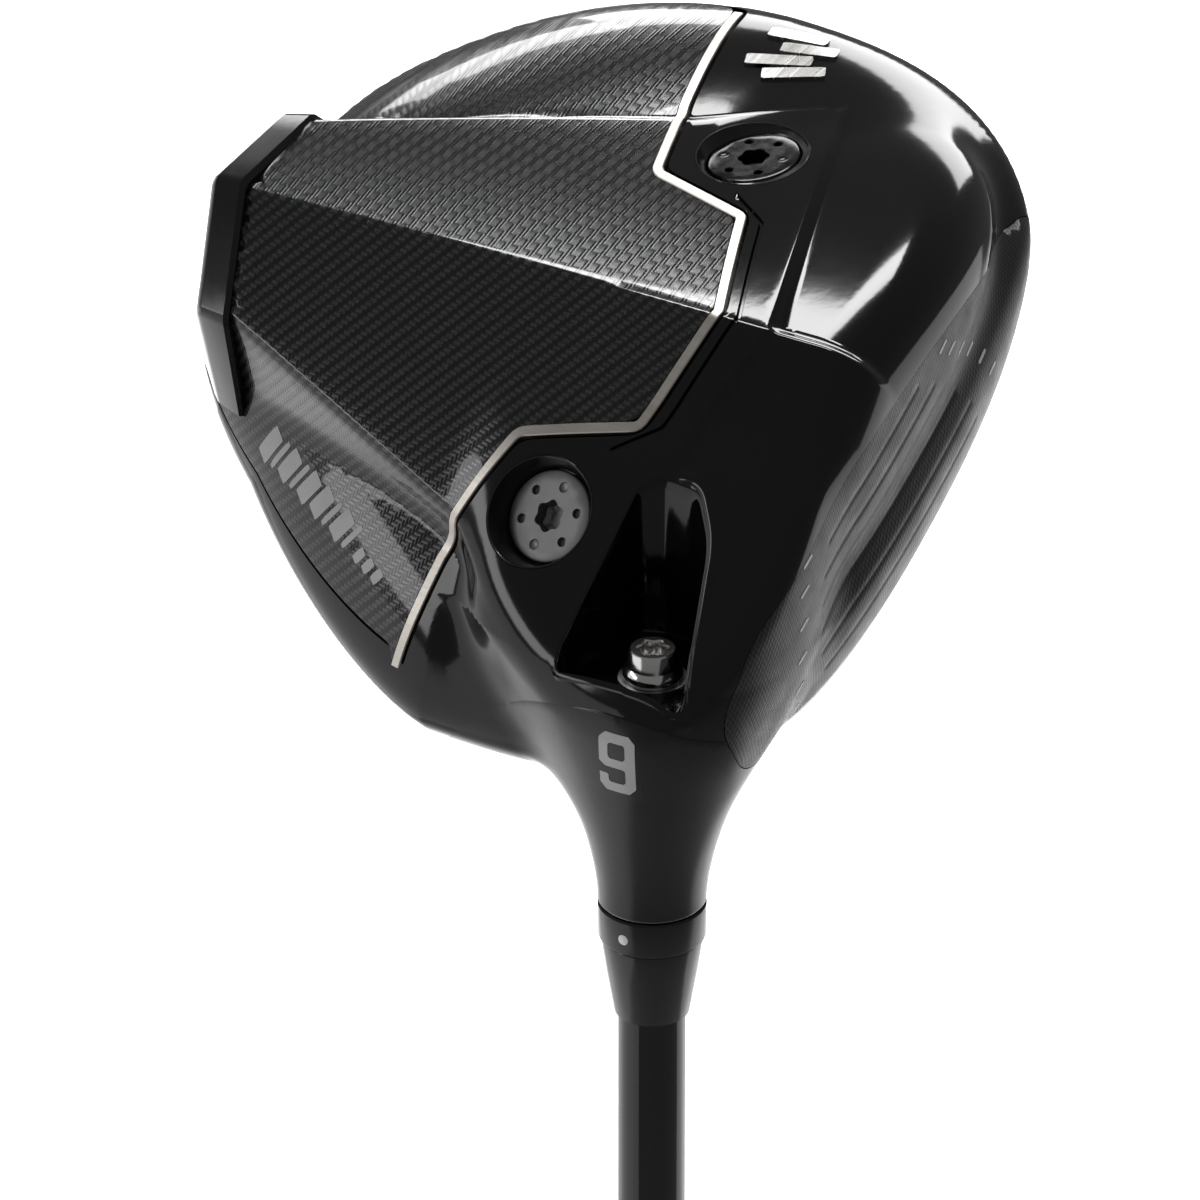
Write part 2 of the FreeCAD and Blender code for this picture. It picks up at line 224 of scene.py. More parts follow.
def along(origin, way, lo, hi):
    """First place where each line from origin leaves the head, between distances lo and hi."""
    scan = 26
    near = np.full(len(way), float(lo))
    far = np.full(len(way), float(hi))
    step = (hi - lo) / scan
    found = np.zeros(len(way), bool)
    for k in range(1, scan + 1):
        at = lo + k * step
        out = (head(origin + way * at) > 0) & ~found
        near[out], far[out] = at - step, at
        found |= out
    for _ in range(20):
        mid = 0.5 * (near + far)
        out = head(origin + way * mid[:, None]) > 0
        far = np.where(out, mid, far)
        near = np.where(out, near, mid)
    return origin + way * (0.5 * (near + far))[:, None]


def normals(p, e=0.06):
    """Outward normals of the head at p, from differences over e."""
    g = np.stack([head(p + v) - head(p - v) for v in np.eye(3) * e], -1)
    return g / (np.linalg.norm(g, axis=-1, keepdims=True) + 1e-12)


class SoleChart:
    """Directions from the star point, unrolled about straight down."""

    pole = -1.0

    def flat(self, p):
        d = p - STAR
        d = d / np.linalg.norm(d, axis=1, keepdims=True)
        th = np.arccos(np.clip(self.pole * d[:, 2], -1, 1))
        r = np.hypot(d[:, 0], d[:, 1]) + 1e-12
        return np.stack([th * d[:, 0] / r, th * d[:, 1] / r], -1)

    def lift(self, uv):
        th = np.hypot(uv[:, 0], uv[:, 1]) + 1e-12
        s = np.sin(th) / th
        d = np.stack([s * uv[:, 0], s * uv[:, 1], self.pole * np.cos(th)], -1)
        return along(STAR, d, 3, 120)


class CrownChart(SoleChart):
    """The same, unrolled about straight up."""
    pole = 1.0


class FaceChart:
    """The face seen square on: x and z."""

    def flat(self, p):
        return p[:, [0, 2]].copy()

    def lift(self, uv):
        o = np.stack([uv[:, 0], 30 + 0 * uv[:, 0], uv[:, 1]], -1)
        return along(o, np.tile([0.0, -1.0, 0.0], (len(uv), 1)), 0, 45)


class NeckChart:
    """Angle round the shaft axis times 12, and distance up the shaft."""

    def flat(self, p):
        e1, dy, t = on_axis(p[:, 0], p[:, 1], p[:, 2])
        return np.stack([np.arctan2(dy, e1) * 12, t], -1)

    def lift(self, uv):
        a = uv[:, 0] / 12
        o = axis_point(0 * a, 0 * a, uv[:, 1])
        w = axis_point(np.cos(a), np.sin(a), uv[:, 1]) - o
        return along(o, w, 1, 40)


SOLE = SoleChart()
CROWN = CrownChart()
FACE = FaceChart()
NECK = NeckChart()
DOWN = np.array([0.0, 0.0, -1.0])
SOLEWARD = np.array([-SL, 0.0, -CL])  # square to the shaft, from the crown side to the sole side


def below(xy):
    """Points of the sole straight above plan positions."""
    xy = np.asarray(xy, float)
    o = np.stack([xy[:, 0], xy[:, 1], 26 + 0 * xy[:, 0]], -1)
    return along(o, np.tile(DOWN, (len(xy), 1)), 0, 40)


def rounded(points, radius, step=0.7, closed=False):
    """Polyline through points with rounded corners, evenly resampled."""
    pts = [np.asarray(p, float) for p in points]
    n = len(pts)
    radius = radius if isinstance(radius, (list, tuple)) else [radius] * n
    out = []
    for i in range(n):
        if not closed and i in (0, n - 1):
            out.append(pts[i])
            continue
        a, b, c = pts[i - 1], pts[i], pts[(i + 1) % n]
        u = a - b
        w = c - b
        lu = np.linalg.norm(u)
        lw = np.linalg.norm(w)
        u = u / lu
        w = w / lw
        half = 0.5 * math.acos(max(-1, min(1, float(u @ w))))
        cut = min(radius[i] / math.tan(half), 0.48 * lu, 0.48 * lw)
        for k in range(9):
            s = k / 8
            q0 = b + u * cut * (1 - s)
            q1 = b + w * cut * s
            out.append(q0 * (1 - s) + q1 * s)
    return resample(np.array(out), step, closed)


def resample(line, step, closed=False):
    """The same line with its points evenly apart, about step."""
    if closed:
        line = np.vstack([line, line[:1]])
    seg = np.linalg.norm(np.diff(line, axis=0), axis=1)
    s = np.concatenate([[0], np.cumsum(seg)])
    n = max(2, int(round(s[-1] / step)))
    at = np.linspace(0, s[-1], n + 1)
    out = np.stack([np.interp(at, s, line[:, k]) for k in range(line.shape[1])], -1)
    return out[:-1] if closed else out


def offset(line, by, closed=False):
    """Shift a plan line sideways, to the left of its run."""
    if closed:
        t = np.roll(line, -1, 0) - np.roll(line, 1, 0)
    else:
        t = np.gradient(line, axis=0)
    t = t / (np.linalg.norm(t, axis=1, keepdims=True) + 1e-12)
    return line + by * np.stack([-t[:, 1], t[:, 0]], -1)


def inside(q, loop):
    """Even-odd test of points q against a closed loop."""
    hit = np.zeros(len(q), bool)
    a, b = loop, np.roll(loop, -1, 0)
    for (x0, y0), (x1, y1) in zip(a, b):
        if y0 == y1:
            continue
        m = (q[:, 1] > y0) != (q[:, 1] > y1)
        hit ^= m & (q[:, 0] < (x1 - x0) * (q[:, 1] - y0) / (y1 - y0) + x0)
    return hit


def distance(q, line, closed=False):
    """Distance of points q from a polyline."""
    best = np.full(len(q), 1e9)
    b = np.roll(line, -1, 0) if closed else line[1:]
    a = line if closed else line[:-1]
    for p0, p1 in zip(a, b):
        e = p1 - p0
        t = np.clip(((q - p0) @ e) / (e @ e + 1e-12), 0, 1)
        best = np.minimum(best, ((q - p0 - t[:, None] * e) ** 2).sum(1))
    return np.sqrt(best)


def fill(outer, holes, lines, pitch):
    """Triangulates the inside of outer, less holes, keeping every line.

    Returns the points, the faces, and the indices of the points of each loop.
    """
    verts = []
    edges = []
    groups = []
    count = 0
    for loop in [outer] + holes:
        n = len(loop)
        verts.append(loop)
        edges += [(count + i, count + (i + 1) % n) for i in range(n)]
        groups.append((count, n))
        count += n
    for line in lines:
        n = len(line)
        verts.append(line)
        edges += [(count + i, count + i + 1) for i in range(n - 1)]
        count += n
    fixed = np.vstack(verts)
    lo = outer.min(0)
    hi = outer.max(0)
    row = pitch * 0.866
    rows = int((hi[1] - lo[1]) / row) + 2
    cols = int((hi[0] - lo[0]) / pitch) + 2
    gx, gy = np.meshgrid(np.arange(cols), np.arange(rows))
    grid = np.stack([lo[0] + (gx + 0.5 * (gy % 2)) * pitch, lo[1] + gy * row], -1).reshape(-1, 2)
    cell = pitch * 0.5
    near = set()
    for i, j in np.floor(fixed / cell).astype(int):
        near.update((i + a, j + b) for a in (-1, 0, 1) for b in (-1, 0, 1))
    keys = np.floor(grid / cell).astype(int)
    keep = np.array([(i, j) not in near for i, j in keys.tolist()])
    grid = grid[keep]
    ok = inside(grid, outer)
    for h in holes:
        ok &= ~inside(grid, h)
    allp = np.vstack([fixed, grid[ok]])
    made = delaunay_2d_cdt([Vector(p) for p in allp], edges, [], 0, 1e-7)
    vs = np.array([tuple(v) for v in made[0]])
    fs = np.array([f for f in made[2] if len(f) == 3])
    mid = vs[fs].mean(1)
    good = inside(mid, outer)
    for h in holes:
        good &= ~inside(mid, h)
    fs = fs[good]
    where = {}
    for new, olds in enumerate(made[3]):
        for old in olds:
            where[old] = new
    loops = [[where[s + i] for i in range(n)] for s, n in groups]
    return vs, fs, loops


def clean(vs, fs, loops):
    """Drops points no face uses."""
    used = np.zeros(len(vs), bool)
    used[fs.reshape(-1)] = True
    new = np.cumsum(used) - 1
    return vs[used], new[fs], [[int(new[i]) for i in loop] for loop in loops]


# ---- lines on the head, as plan positions: x toe, y back ----

# corners of each line and the radius at each corner
TRIM = [(-49.6, 57.2), (-36.6, 54.4), (-33.2, 53.2), (-21.4, 47.4), (-16.6, 31.2), (0.3, 26.9), (17.4, 34.0),
        (21.2, 49.6), (35.3, 54.6), (55.4, 59.6)]
TRIM_R = [1, 3, 2.2, 2.2, 1.6, 1.2, 1.6, 2.2, 2.2, 1]
STRIP_W = 1.4
GAP = 0.5
RIM_Z = 23.0  # height of the rear edge of the sole panel
FLOOR_T = 21.98  # floor of the screw's pocket, up the shaft
LEDGE = 0.05  # reach of the ledges under the bonded panels, radians
POD_R = 7.65
# pocket of the hosel screw, as (toward the crown, toward the back) of the shaft axis
WELL = [(10.4, 8.4), (11.6, 5.4), (11.4, 0.4), (7.4, -3.6), (-1.8, -6.6), (-6.4, -8.2), (-6.6, 10.6),
        (-4.4, 10.9)]
WELL_R = [1.4, 2.4, 3.6, 8, 8, 1.1, 1.2, 1.0]
GROOVE = [(-20.4, 33.5), (-15.9, 27.9), (0.3, 23.9), (17.2, 30.8), (20.8, 37.0)]
FACE_RIM = [(36.5, 25.5), (16.0, 13.6), (-8.0, 9.6), (-37.0, 12.3), (-47.5, 19.5), (-47.5, 30.0),
            (-37.0, 36.5), (-14.0, 39.5), (14.0, 41.0), (36.0, 39.0), (43.5, 34.5), (42.5, 29.5)]
FACE_R = [16, 70, 90, 14, 7, 8, 40, 60, 60, 12, 6, 8]
CROWN_FRONT = [(52.0, 44.0), (38.0, 27.0), (18.0, 17.5), (-12.0, 16.5), (-28.0, 22.0), (-37.0, 33.0),
               (-50.0, 47.0)]

trim_line = rounded(TRIM, TRIM_R, 0.6)
groove_line = rounded(GROOVE, [1, 1.2, 1.0, 1.4, 1], 0.5)
well_line = rounded(WELL, WELL_R, 0.45, closed=True)
gap_line = offset(trim_line, -0.5 * STRIP_W - GAP)

SCREW_HOLE_R = 2.9
FAR = 99.0
GROOVE_DEPTH = 0.45
SATIN_STEP = 0.14
BEAD_HEIGHT = 0.3


def toward(x, y):
    """Direction of a plan point, 0 toe and half pi back."""
    a = math.atan2(y - 48.0, x)
    return a + 2 * math.pi if a < -1.6 else a


def rim_points(z_of, count, a0, a1):
    """Points round the outside of the head between two directions, 0 toe and half pi back."""
    a = np.linspace(a0, a1, count)
    z = z_of(a) if callable(z_of) else z_of + 0 * a
    o = np.stack([0 * a, 48.0 + 0 * a, z], -1)
    return along(o, np.stack([np.cos(a), np.sin(a), 0 * a], -1), 5, 90)


def soften(p, times):
    """Evens out a closed loop."""
    for _ in range(times):
        p = 0.5 * p + 0.25 * (np.roll(p, 1, 0) + np.roll(p, -1, 0))
    return p


def panel_loop(front_plan, rim_z):
    """Outline of the sole panel: along the trim, then round the back."""
    front = below(front_plan)
    a0, a1 = toward(*front_plan[-1]), toward(*front_plan[0])
    rear = rim_points(rim_z, 200, a0 + 0.015, a1 - 0.015)
    p = resample(np.vstack([front, rear]), 0.75, True)
    return soften(p, 3)


def crown_loop():
    """Outline of the crown panel."""
    rear = rim_points(lambda a: 33.2 - 3.0 * np.sin(a), 200, toward(52, 44) + 0.03, toward(-50, 47) - 0.03)
    xy = rounded(CROWN_FRONT, 9, 0.9)[::-1]
    o = np.stack([xy[:, 0], xy[:, 1], 28 + 0 * xy[:, 0]], -1)
    front = along(o, np.tile([0.0, 0.0, 1.0], (len(xy), 1)), 0, 45)
    return soften(resample(np.vstack([rear, front]), 1.0, True), 6)


def around(count):
    return np.linspace(0, 2 * math.pi, count, endpoint=False)


def circle(r, count):
    a = around(count)
    return r * np.stack([np.cos(a), np.sin(a)], -1)


def pod_axes(side):
    """Centre, outward normal and two crosswise directions of a weight; side +1 is the heel one."""
    t = math.radians(24.0)
    lean = math.radians(5.5)
    n = np.array([-side * math.sin(t), math.sin(lean), -math.cos(t)])
    n /= np.linalg.norm(n)
    a = np.cross(n, [0.0, 1.0, 0.0])
    a /= np.linalg.norm(a)
    return np.array([-side * 29.6, 40.2, 9.9]), n, a, np.cross(n, a)


def pod_loop(side, r, count=84):
    """Where a circle about the axis of a weight meets the surface."""
    c, n, a, b = pod_axes(side)
    t = around(count)
    o = c + r * (np.cos(t)[:, None] * a + np.sin(t)[:, None] * b) - 4 * n
    return along(o, np.tile(n, (count, 1)), 0, 9)


def well_root(q):
    """Where lines along the shaft through (e1, dy) leave the sole."""
    o = axis_point(q[:, 0], q[:, 1], FLOOR_T - 0.1 + 0 * q[:, 0])
    return along(o, np.tile([CL, 0.0, -SL], (len(q), 1)), 0, 45)


def neck_edge():
    """Angles round the hosel and how far up the shaft the skin ends at each."""
    a = np.linspace(-math.pi, math.pi, 141)[:-1]
    return a, 40.5 + 7.0 * np.cos(a)


def neck_loop():
    a, t = neck_edge()
    return NECK.lift(np.stack([a * 12, t], -1))


def finish_line(dy):
    """How far up the shaft the satin finish of the neck starts."""
    return 23.3 + 0.018 * (dy - 1) ** 2


def neck_front(dy, t):
    """Sole side of the neck at (dy, t)."""
    return along(axis_point(0 * dy, dy, t), np.tile(SOLEWARD, (len(dy), 1)), 0, 40)


def relief(p):
    """Extra height of the painted metal over the plain surface."""
    xy = p[:, :2]
    e1, dy, t = on_axis(p[:, 0], p[:, 1], p[:, 2])
    low = p[:, 2] < 24
    from_groove = np.full(len(p), FAR)
    from_groove[low] = distance(xy[low], groove_line)
    groove = -GROOVE_DEPTH * (1 - ramp(from_groove, 0.16, 0.36))
    from_well = np.full(len(p), FAR)
    near = low & (t < 24)
    from_well[near] = distance(np.stack([e1, dy], -1)[near], well_line, True)
    satin = SATIN_STEP * ramp(t - finish_line(dy), -0.12, 0.12) * (1 - ramp(t, 27, 36)) * ramp(9 - e1, 0, 6)
    beaded = ramp(e1, 4, 7) * ramp(6 - dy, 0, 4) + ramp(-dy, 3, 4.4) * (e1 > -7)
    bead = BEAD_HEIGHT * np.exp(-((from_well - 0.95) / 0.42) ** 2) * np.clip(beaded, 0, 1)
    return groove + satin + bead


def split_clear(lines, loops, outer, near):
    """Cuts lines so that they stay inside the outline and keep off it and off every loop."""
    out = []
    for ln in lines:
        ok = inside(ln, outer)
        for lp in [outer] + loops:
            if lp is not outer:
                ok &= ~inside(ln, lp)
            box = (ln > lp.min(0) - 0.03).all(1) & (ln < lp.max(0) + 0.03).all(1)
            if box.any():
                ok[box] &= distance(ln[box], lp, True) > near
        run = []
        for q, k in zip(list(ln) + [ln[-1]], list(ok) + [False]):
            if k:
                run.append(q)
                continue
            if len(run) > 2:
                out.append(np.array(run))
            run = []
    return out


def ring_strip(loops, closed=False):
    """Points and quads of a run of loops of equal length; closed joins the last to the first."""
    n = len(loops[0])
    f = []
    bands = len(loops) if closed else len(loops) - 1
    for k in range(bands):
        m = (k + 1) % len(loops)
        for i in range(n):
            j = (i + 1) % n
            f.append((k * n + i, k * n + j, m * n + j, m * n + i))
    return np.vstack(loops), f


def skin_lines():
    """Where the skin needs points: along edges, ridges and grooves."""
    out = []
    for by in (-0.36, -0.16, 0.0, 0.16, 0.36):
        out.append(below(offset(groove_line, by)))
    out.append(below(offset(gap_line, -0.35)))
    x = np.linspace(-43, 43, 150)
    front = np.stack([x, front_line(x)], -1)
    for by in (-2.6, -2.0, -1.5, -1.0, -0.5, 0.0, 0.5):
        row = offset(front, by)
        out += [below(row[row[:, 0] > 1.3]), below(row[row[:, 0] < -1.3])]
    y = np.linspace(37.5, 52.5, 24)
    for side in (-1, 1):
        for by in (-0.6, -0.1, 0.4, 1.0):
            out.append(below(np.stack([side * (edge_w(y) + by), y], -1)))
    y = np.linspace(3, 26, 40)
    for by in (-1.2, -0.5, 0.0, 0.6, 1.3, 2.1):
        out.append(below(np.stack([by + 0 * y, y], -1)))
    dy = np.linspace(-12, 19, 80)
    for by in (-0.2, 0.0, 0.2):
        out.append(neck_front(dy, finish_line(dy) + by))
    for by in (0.8, 1.1, 1.6):
        q = offset(well_line, by, closed=True)
        out.append(well_root(np.vstack([q, q[:1]])))
    return out


def turning(loop):
    """+1 for a loop that runs anticlockwise, else -1."""
    nxt = np.roll(loop, -1, 0)
    return 1.0 if (loop[:, 0] * nxt[:, 1] - nxt[:, 0] * loop[:, 1]).sum() > 0 else -1.0


def ledge(loop, shift, low, high):
    """Closed band under the edge of an opening; shift is how far it reaches into the loop, in radians."""
    uv = SOLE.flat(loop)
    n = normals(loop)
    inner = SOLE.lift(offset(uv, shift * turning(uv), closed=True))
    m = normals(inner)
    rings = [loop - n * low, inner - m * low, inner - m * high, loop - n * high]
    return ring_strip(rings, closed=True)


def head_skin():
    """The painted metal outside, with its openings left out; also each opening's edge by name."""
    outer = SOLE.flat(crown_loop())
    named = {"panel": SOLE.lift(SOLE.flat(panel_loop(gap_line, RIM_Z + 0.25))),
             "pod_heel": pod_loop(1, POD_R), "pod_toe": pod_loop(-1, POD_R),
             "well": well_root(offset(well_line, 0.5, closed=True)), "neck": neck_loop(),
             "face": FACE.lift(FACE_LOOP)}
    holes = [SOLE.flat(h) for h in named.values()]
    lines = split_clear([SOLE.flat(ln) for ln in skin_lines()], holes, outer, 0.0042)
    vs, fs, loops = clean(*fill(outer, holes, lines, 0.0185))
    p = SOLE.lift(vs)
    for loop, src in zip(loops[1:], named.values()):
        p[loop] = src
    p = p + normals(p) * relief(p)[:, None]
    return p, fs, loops, named


FACE_LOOP = rounded(FACE_RIM, FACE_R, 0.8, closed=True)


def well_parts(rim):
    """Walls and floor of the pocket that leads to the hosel screw."""
    base = well_root(well_line)
    _, _, t0 = on_axis(base[:, 0], base[:, 1], base[:, 2])
    t0 = np.minimum(t0, FLOOR_T - 0.75)
    loops = [rim]
    for off, drop in ((0.30, 0.02), (0.12, 0.14), (0.02, 0.36)):
        q = offset(well_line, off, closed=True)
        r = well_root(q)
        _, _, tr = on_axis(r[:, 0], r[:, 1], r[:, 2])
        loops.append(axis_point(q[:, 0], q[:, 1], np.minimum(tr, FLOOR_T - 0.7) + drop))
    for s in np.linspace(0.06, 1, 12):
        q = offset(well_line, -0.35 * s, closed=True)
        loops.append(axis_point(q[:, 0], q[:, 1], (t0 + 0.4) * (1 - s) + (FLOOR_T - 0.3) * s))
    for off, up in ((-0.47, 0.1), (-0.70, 0.0)):
        q = offset(well_line, off, closed=True)
        loops.append(axis_point(q[:, 0], q[:, 1], FLOOR_T - up + 0 * t0))
    v, f = ring_strip(loops)
    fv, ff, _ = fill(offset(well_line, -0.70, closed=True), [circle(SCREW_HOLE_R, 48)], [], 1.3)
    return v, f, axis_point(fv[:, 0], fv[:, 1], FLOOR_T + 0 * fv[:, 0]), ff


def neck_parts():
    """Outside of the hosel, its rim and the top of its bore."""
    a, t0 = neck_edge()
    loops = []
    for s in np.linspace(0, 1, 30):
        t = t0 * (1 - s) + 53.6 * s
        loops.append(NECK.lift(np.stack([a * 12, t], -1)))
    for r, t in ((7.04, 53.84), (6.86, 54.0), (5.98, 54.0), (5.9, 53.9), (5.9, 44.0)):
        loops.append(axis_point(r * np.cos(a), r * np.sin(a), t + 0 * a))
    return ring_strip(loops)


# ---- pieces ----

def row_way(n):
    """Directions of the head frame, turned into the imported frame."""
    return np.stack([SL * n[:, 0] + CL * n[:, 2], n[:, 1], CL * n[:, 0] - SL * n[:, 2]], -1)


def closed_shell(p, fs, thick, n):
    """The surface p, faces fs, thickened inward; n are its outward normals. Row frame, metres."""
    m = len(p)
    faces = [tuple(int(i) for i in f) for f in fs]
    have = set()
    for f in faces:
        have.update(zip(f, f[1:] + f[:1]))
    out = faces + [tuple(i + m for i in f[::-1]) for f in faces]
    out += [(b, a, a + m, b + m) for a, b in have if (b, a) not in have]
    return np.vstack([p, p - n * thick]), out


def turn_out(p, fs, n):
    """Face order so that every face looks the way of the vertex normals n."""
    fs = [tuple(int(i) for i in f) for f in fs]
    out = []
    for f in fs:
        g = np.cross(p[f[1]] - p[f[0]], p[f[2]] - p[f[0]])
        out.append(f if g @ (n[f[0]] + n[f[1]] + n[f[2]]) > 0 else f[::-1])
    return out


def put(name, verts, faces, mat, body, nrm=None, sharp=30, fix=False, nodes=()):
    """Adds one shown piece to a body; nodes are the CAD nodes that it stands in for.

    nrm are exact normals for the first points. sharp is the crease angle in degrees. fix welds the
    mesh and turns its faces outward.
    """
    me = bpy.data.meshes.new(name)
    me.from_pydata([tuple(v) for v in verts], [], [tuple(int(i) for i in f) for f in faces])
    me.validate()
    if fix:
        bm = bmesh.new()
        bm.from_mesh(me)
        bmesh.ops.remove_doubles(bm, verts=bm.verts, dist=1e-7)
        bmesh.ops.recalc_face_normals(bm, faces=bm.faces)
        bm.to_mesh(me)
        bm.free()
    me.materials.append(mat)
    me.shade_smooth()
    me.set_sharp_from_angle(angle=math.radians(sharp))
    if nrm is not None and not fix:
        own_normals(me, nrm)
    me.update()
    ob = bpy.data.objects.new(name + "_shown", me)
    bpy.context.scene.collection.objects.link(ob)
    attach(ob, body)
    if nodes:
        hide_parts(*nodes)
    return ob


def own_normals(me, nrm):
    """Uses the exact surface normals wherever nrm has one and the face agrees with it."""
    corner = np.zeros(len(me.loops) * 3, np.float32)
    me.corner_normals.foreach_get("vector", corner)
    corner = corner.reshape(-1, 3)
    vi = np.zeros(len(me.loops), np.int32)
    me.loops.foreach_get("vertex_index", vi)
    full = np.zeros((len(me.vertices), 3))
    full[:len(nrm)] = nrm
    pn = np.zeros(len(me.polygons) * 3, np.float32)
    me.polygons.foreach_get("normal", pn)
    size = np.zeros(len(me.polygons), np.int32)
    me.polygons.foreach_get("loop_total", size)
    face = np.repeat(pn.reshape(-1, 3), size, axis=0)
    want = full[vi]
    ok = ((want * face).sum(1) > 0.55) & (np.abs(want).sum(1) > 0.1)
    corner[ok] = want[ok]
    me.normals_split_custom_set(corner.astype(float).tolist())


def join_parts(parts):
    """One mesh from several (points, faces) pairs."""
    v = []
    f = []
    k = 0
    for pv, pf in parts:
        v.append(pv)
        f += [tuple(int(i) + k for i in q) for q in pf]
        k += len(pv)
    return np.vstack(v), f


def merge(v, f, tol=2e-4):
    """Welds points closer than tol millimetres."""
    key = {}
    new = np.zeros(len(v), int)
    keep = []
    for i, q in enumerate(np.round(v / tol).astype(int).tolist()):
        q = tuple(q)
        if q not in key:
            key[q] = len(keep)
            keep.append(i)
        new[i] = key[q]
    out = []
    for q in f:
        g = [int(new[i]) for i in q]
        g = [a for a, b in zip(g, g[1:] + g[:1]) if a != b]
        if len(g) > 2:
            out.append(tuple(g))
    return v[keep], out


def mesh_normals(p, fs):
    """Vertex normals from the faces."""
    n = np.zeros_like(p)
    for f in fs:
        g = np.cross(p[f[1]] - p[f[0]], p[f[2]] - p[f[0]])
        for i in f:
            n[i] += g
    return n / (np.linalg.norm(n, axis=1, keepdims=True) + 1e-15)


def same_way(row, faces):
    """The faces turned so that neighbours agree on which side is out."""
    bm = bmesh.new()
    made = [bm.verts.new(tuple(q)) for q in row]
    for q in faces:
        bm.faces.new([made[i] for i in q])
    bmesh.ops.recalc_face_normals(bm, faces=bm.faces)
    bm.verts.index_update()
    faces = [tuple(w.index for w in q.verts) for q in bm.faces]
    bm.free()
    return faces


def head_body():
    """Painted metal with its pocket and hosel, and a ledge under each bonded panel."""
    p, fs, loops, named = head_skin()
    edges = dict(zip(named, loops[1:]))
    wv, wf, fv, ff = well_parts(p[edges["well"]])
    nv, nf = neck_parts()
    start = p[edges["neck"]]
    nv[:len(start)] = start
    v, f = merge(*join_parts([(p, fs), (nv, nf), (wv, wf), (fv, ff)]))
    row = to_row(v)
    f = same_way(row, f)
    n = mesh_normals(row, f)
    exact = row_way(normals(v, NORMAL_STEP))
    on_skin = np.abs(head(v)) < 0.004
    if (n[on_skin] * exact[on_skin]).sum() < 0:
        f = [q[::-1] for q in f]
        n = -n
    exact[~on_skin | (np.abs(relief(v)) > 1e-3)] = 0
    parts = [closed_shell(row, f, METAL_THICK * MM, n)]
    ledges = ((named["panel"], LEDGE, PANEL_LEDGE), (named["face"], LEDGE, FACE_LEDGE),
              (crown_loop(), -LEDGE, PANEL_LEDGE))
    for loop, shift, (low, high) in ledges:
        lv, lf = ledge(loop, shift, low, high)
        parts.append((to_row(lv), lf))
    sv, sf = join_parts(parts)
    return put("head_body", sv, sf, MAT["paint"], "head", exact, nodes=["head_body"])


NORMAL_STEP = 0.12
METAL_THICK = 0.9
PANEL_THICK = 1.0
PANEL_LEDGE = (1.15, 1.9)  # top and bottom of the ledge, below the surface
FACE_LEDGE = (2.6, 3.2)
FACE_THICK = 2.4
SCORE_DEPTH = 0.10

# score lines of the face: height, and where each starts and ends
SCORES = [(14.5, -20, 6), (18.3, -23, 9), (22.1, -25, 11), (25.9, -27, 13), (29.7, -28, 14), (33.5, -28, 14)]


def skin_piece(name, p, fs, mat):
    """A closed carbon plate cut from the surface of the head."""
    nr = row_way(normals(p, NORMAL_STEP))
    row = to_row(p)
    v, f = closed_shell(row, turn_out(row, fs, nr), PANEL_THICK * MM, nr)
    return put(name, v, f, mat, "head", nr, nodes=[name])


def sole_panel():
    """Carbon panel behind the trim strip, with points along its ridge and shoulders."""
    loop = SOLE.flat(panel_loop(offset(trim_line, 0.5 * STRIP_W + 0.1), RIM_Z))
    y = np.linspace(24, 100, 110)
    lines = [SOLE.flat(below(np.stack([by + 0 * y, y], -1))) for by in (-1.1, -0.45, 0.0, 0.45, 1.1)]
    for side in (-1, 1):
        for by in (-0.9, -0.3, 0.3, 1.0, 3.0):
            lines.append(SOLE.flat(below(np.stack([side * (edge_w(y) + by), y], -1))))
    lines = split_clear(lines, [], loop, 0.006)
    vs, fs, _ = clean(*fill(loop, [], lines, 0.0195))
    return skin_piece("sole_panel", SOLE.lift(vs), fs, MAT["carbon"])


def crown_panel():
    """Carbon panel of the crown, a hair smaller than its opening."""
    loop = CROWN.flat(crown_loop())
    c = loop.mean(0)
    loop = c + (loop - c) * 0.9965
    vs, fs, _ = clean(*fill(loop, [], [], 0.026))
    return skin_piece("crown_panel", CROWN.lift(vs), fs, MAT["crown"])


def face_plate():
    """Face insert with sunk score lines."""
    c = FACE_LOOP.mean(0)
    inner = c + (FACE_LOOP - c) * 0.997
    lines = []
    for z, x0, x1 in SCORES:
        for by in (-0.22, 0.0, 0.22):
            x = np.linspace(x0, x1, int((x1 - x0) / 0.8))
            lines.append(np.stack([x, z + by + 0 * x], -1))
    lines = split_clear(lines, [], inner, 0.9)
    vs, fs, _ = clean(*fill(inner, [], lines, 0.85))
    p = FACE.lift(vs)
    n = normals(p, NORMAL_STEP)

    def on_line(ln, near, past):
        return ((np.abs(vs[:, 1] - ln[0, 1]) < near) & (vs[:, 0] >= ln[0, 0] - past)
                & (vs[:, 0] <= ln[-1, 0] + past))

    beside = np.zeros(len(p), bool)
    for ln in lines:
        beside |= on_line(ln, 1e-4, 1e-4)
    centre = np.zeros(len(p), bool)
    for ln in lines[1::3]:
        centre |= on_line(ln, 1e-3, -0.1)
    p = p - n * (SCORE_DEPTH * centre)[:, None]
    way = row_way(n)
    row = to_row(p)
    v, f = closed_shell(row, turn_out(row, fs, way), FACE_THICK * MM, way)
    nr = way.copy()
    nr[beside] = 0
    return put("face_plate", v, f, MAT["face"], "head", nr, 60, nodes=["face_plate"])


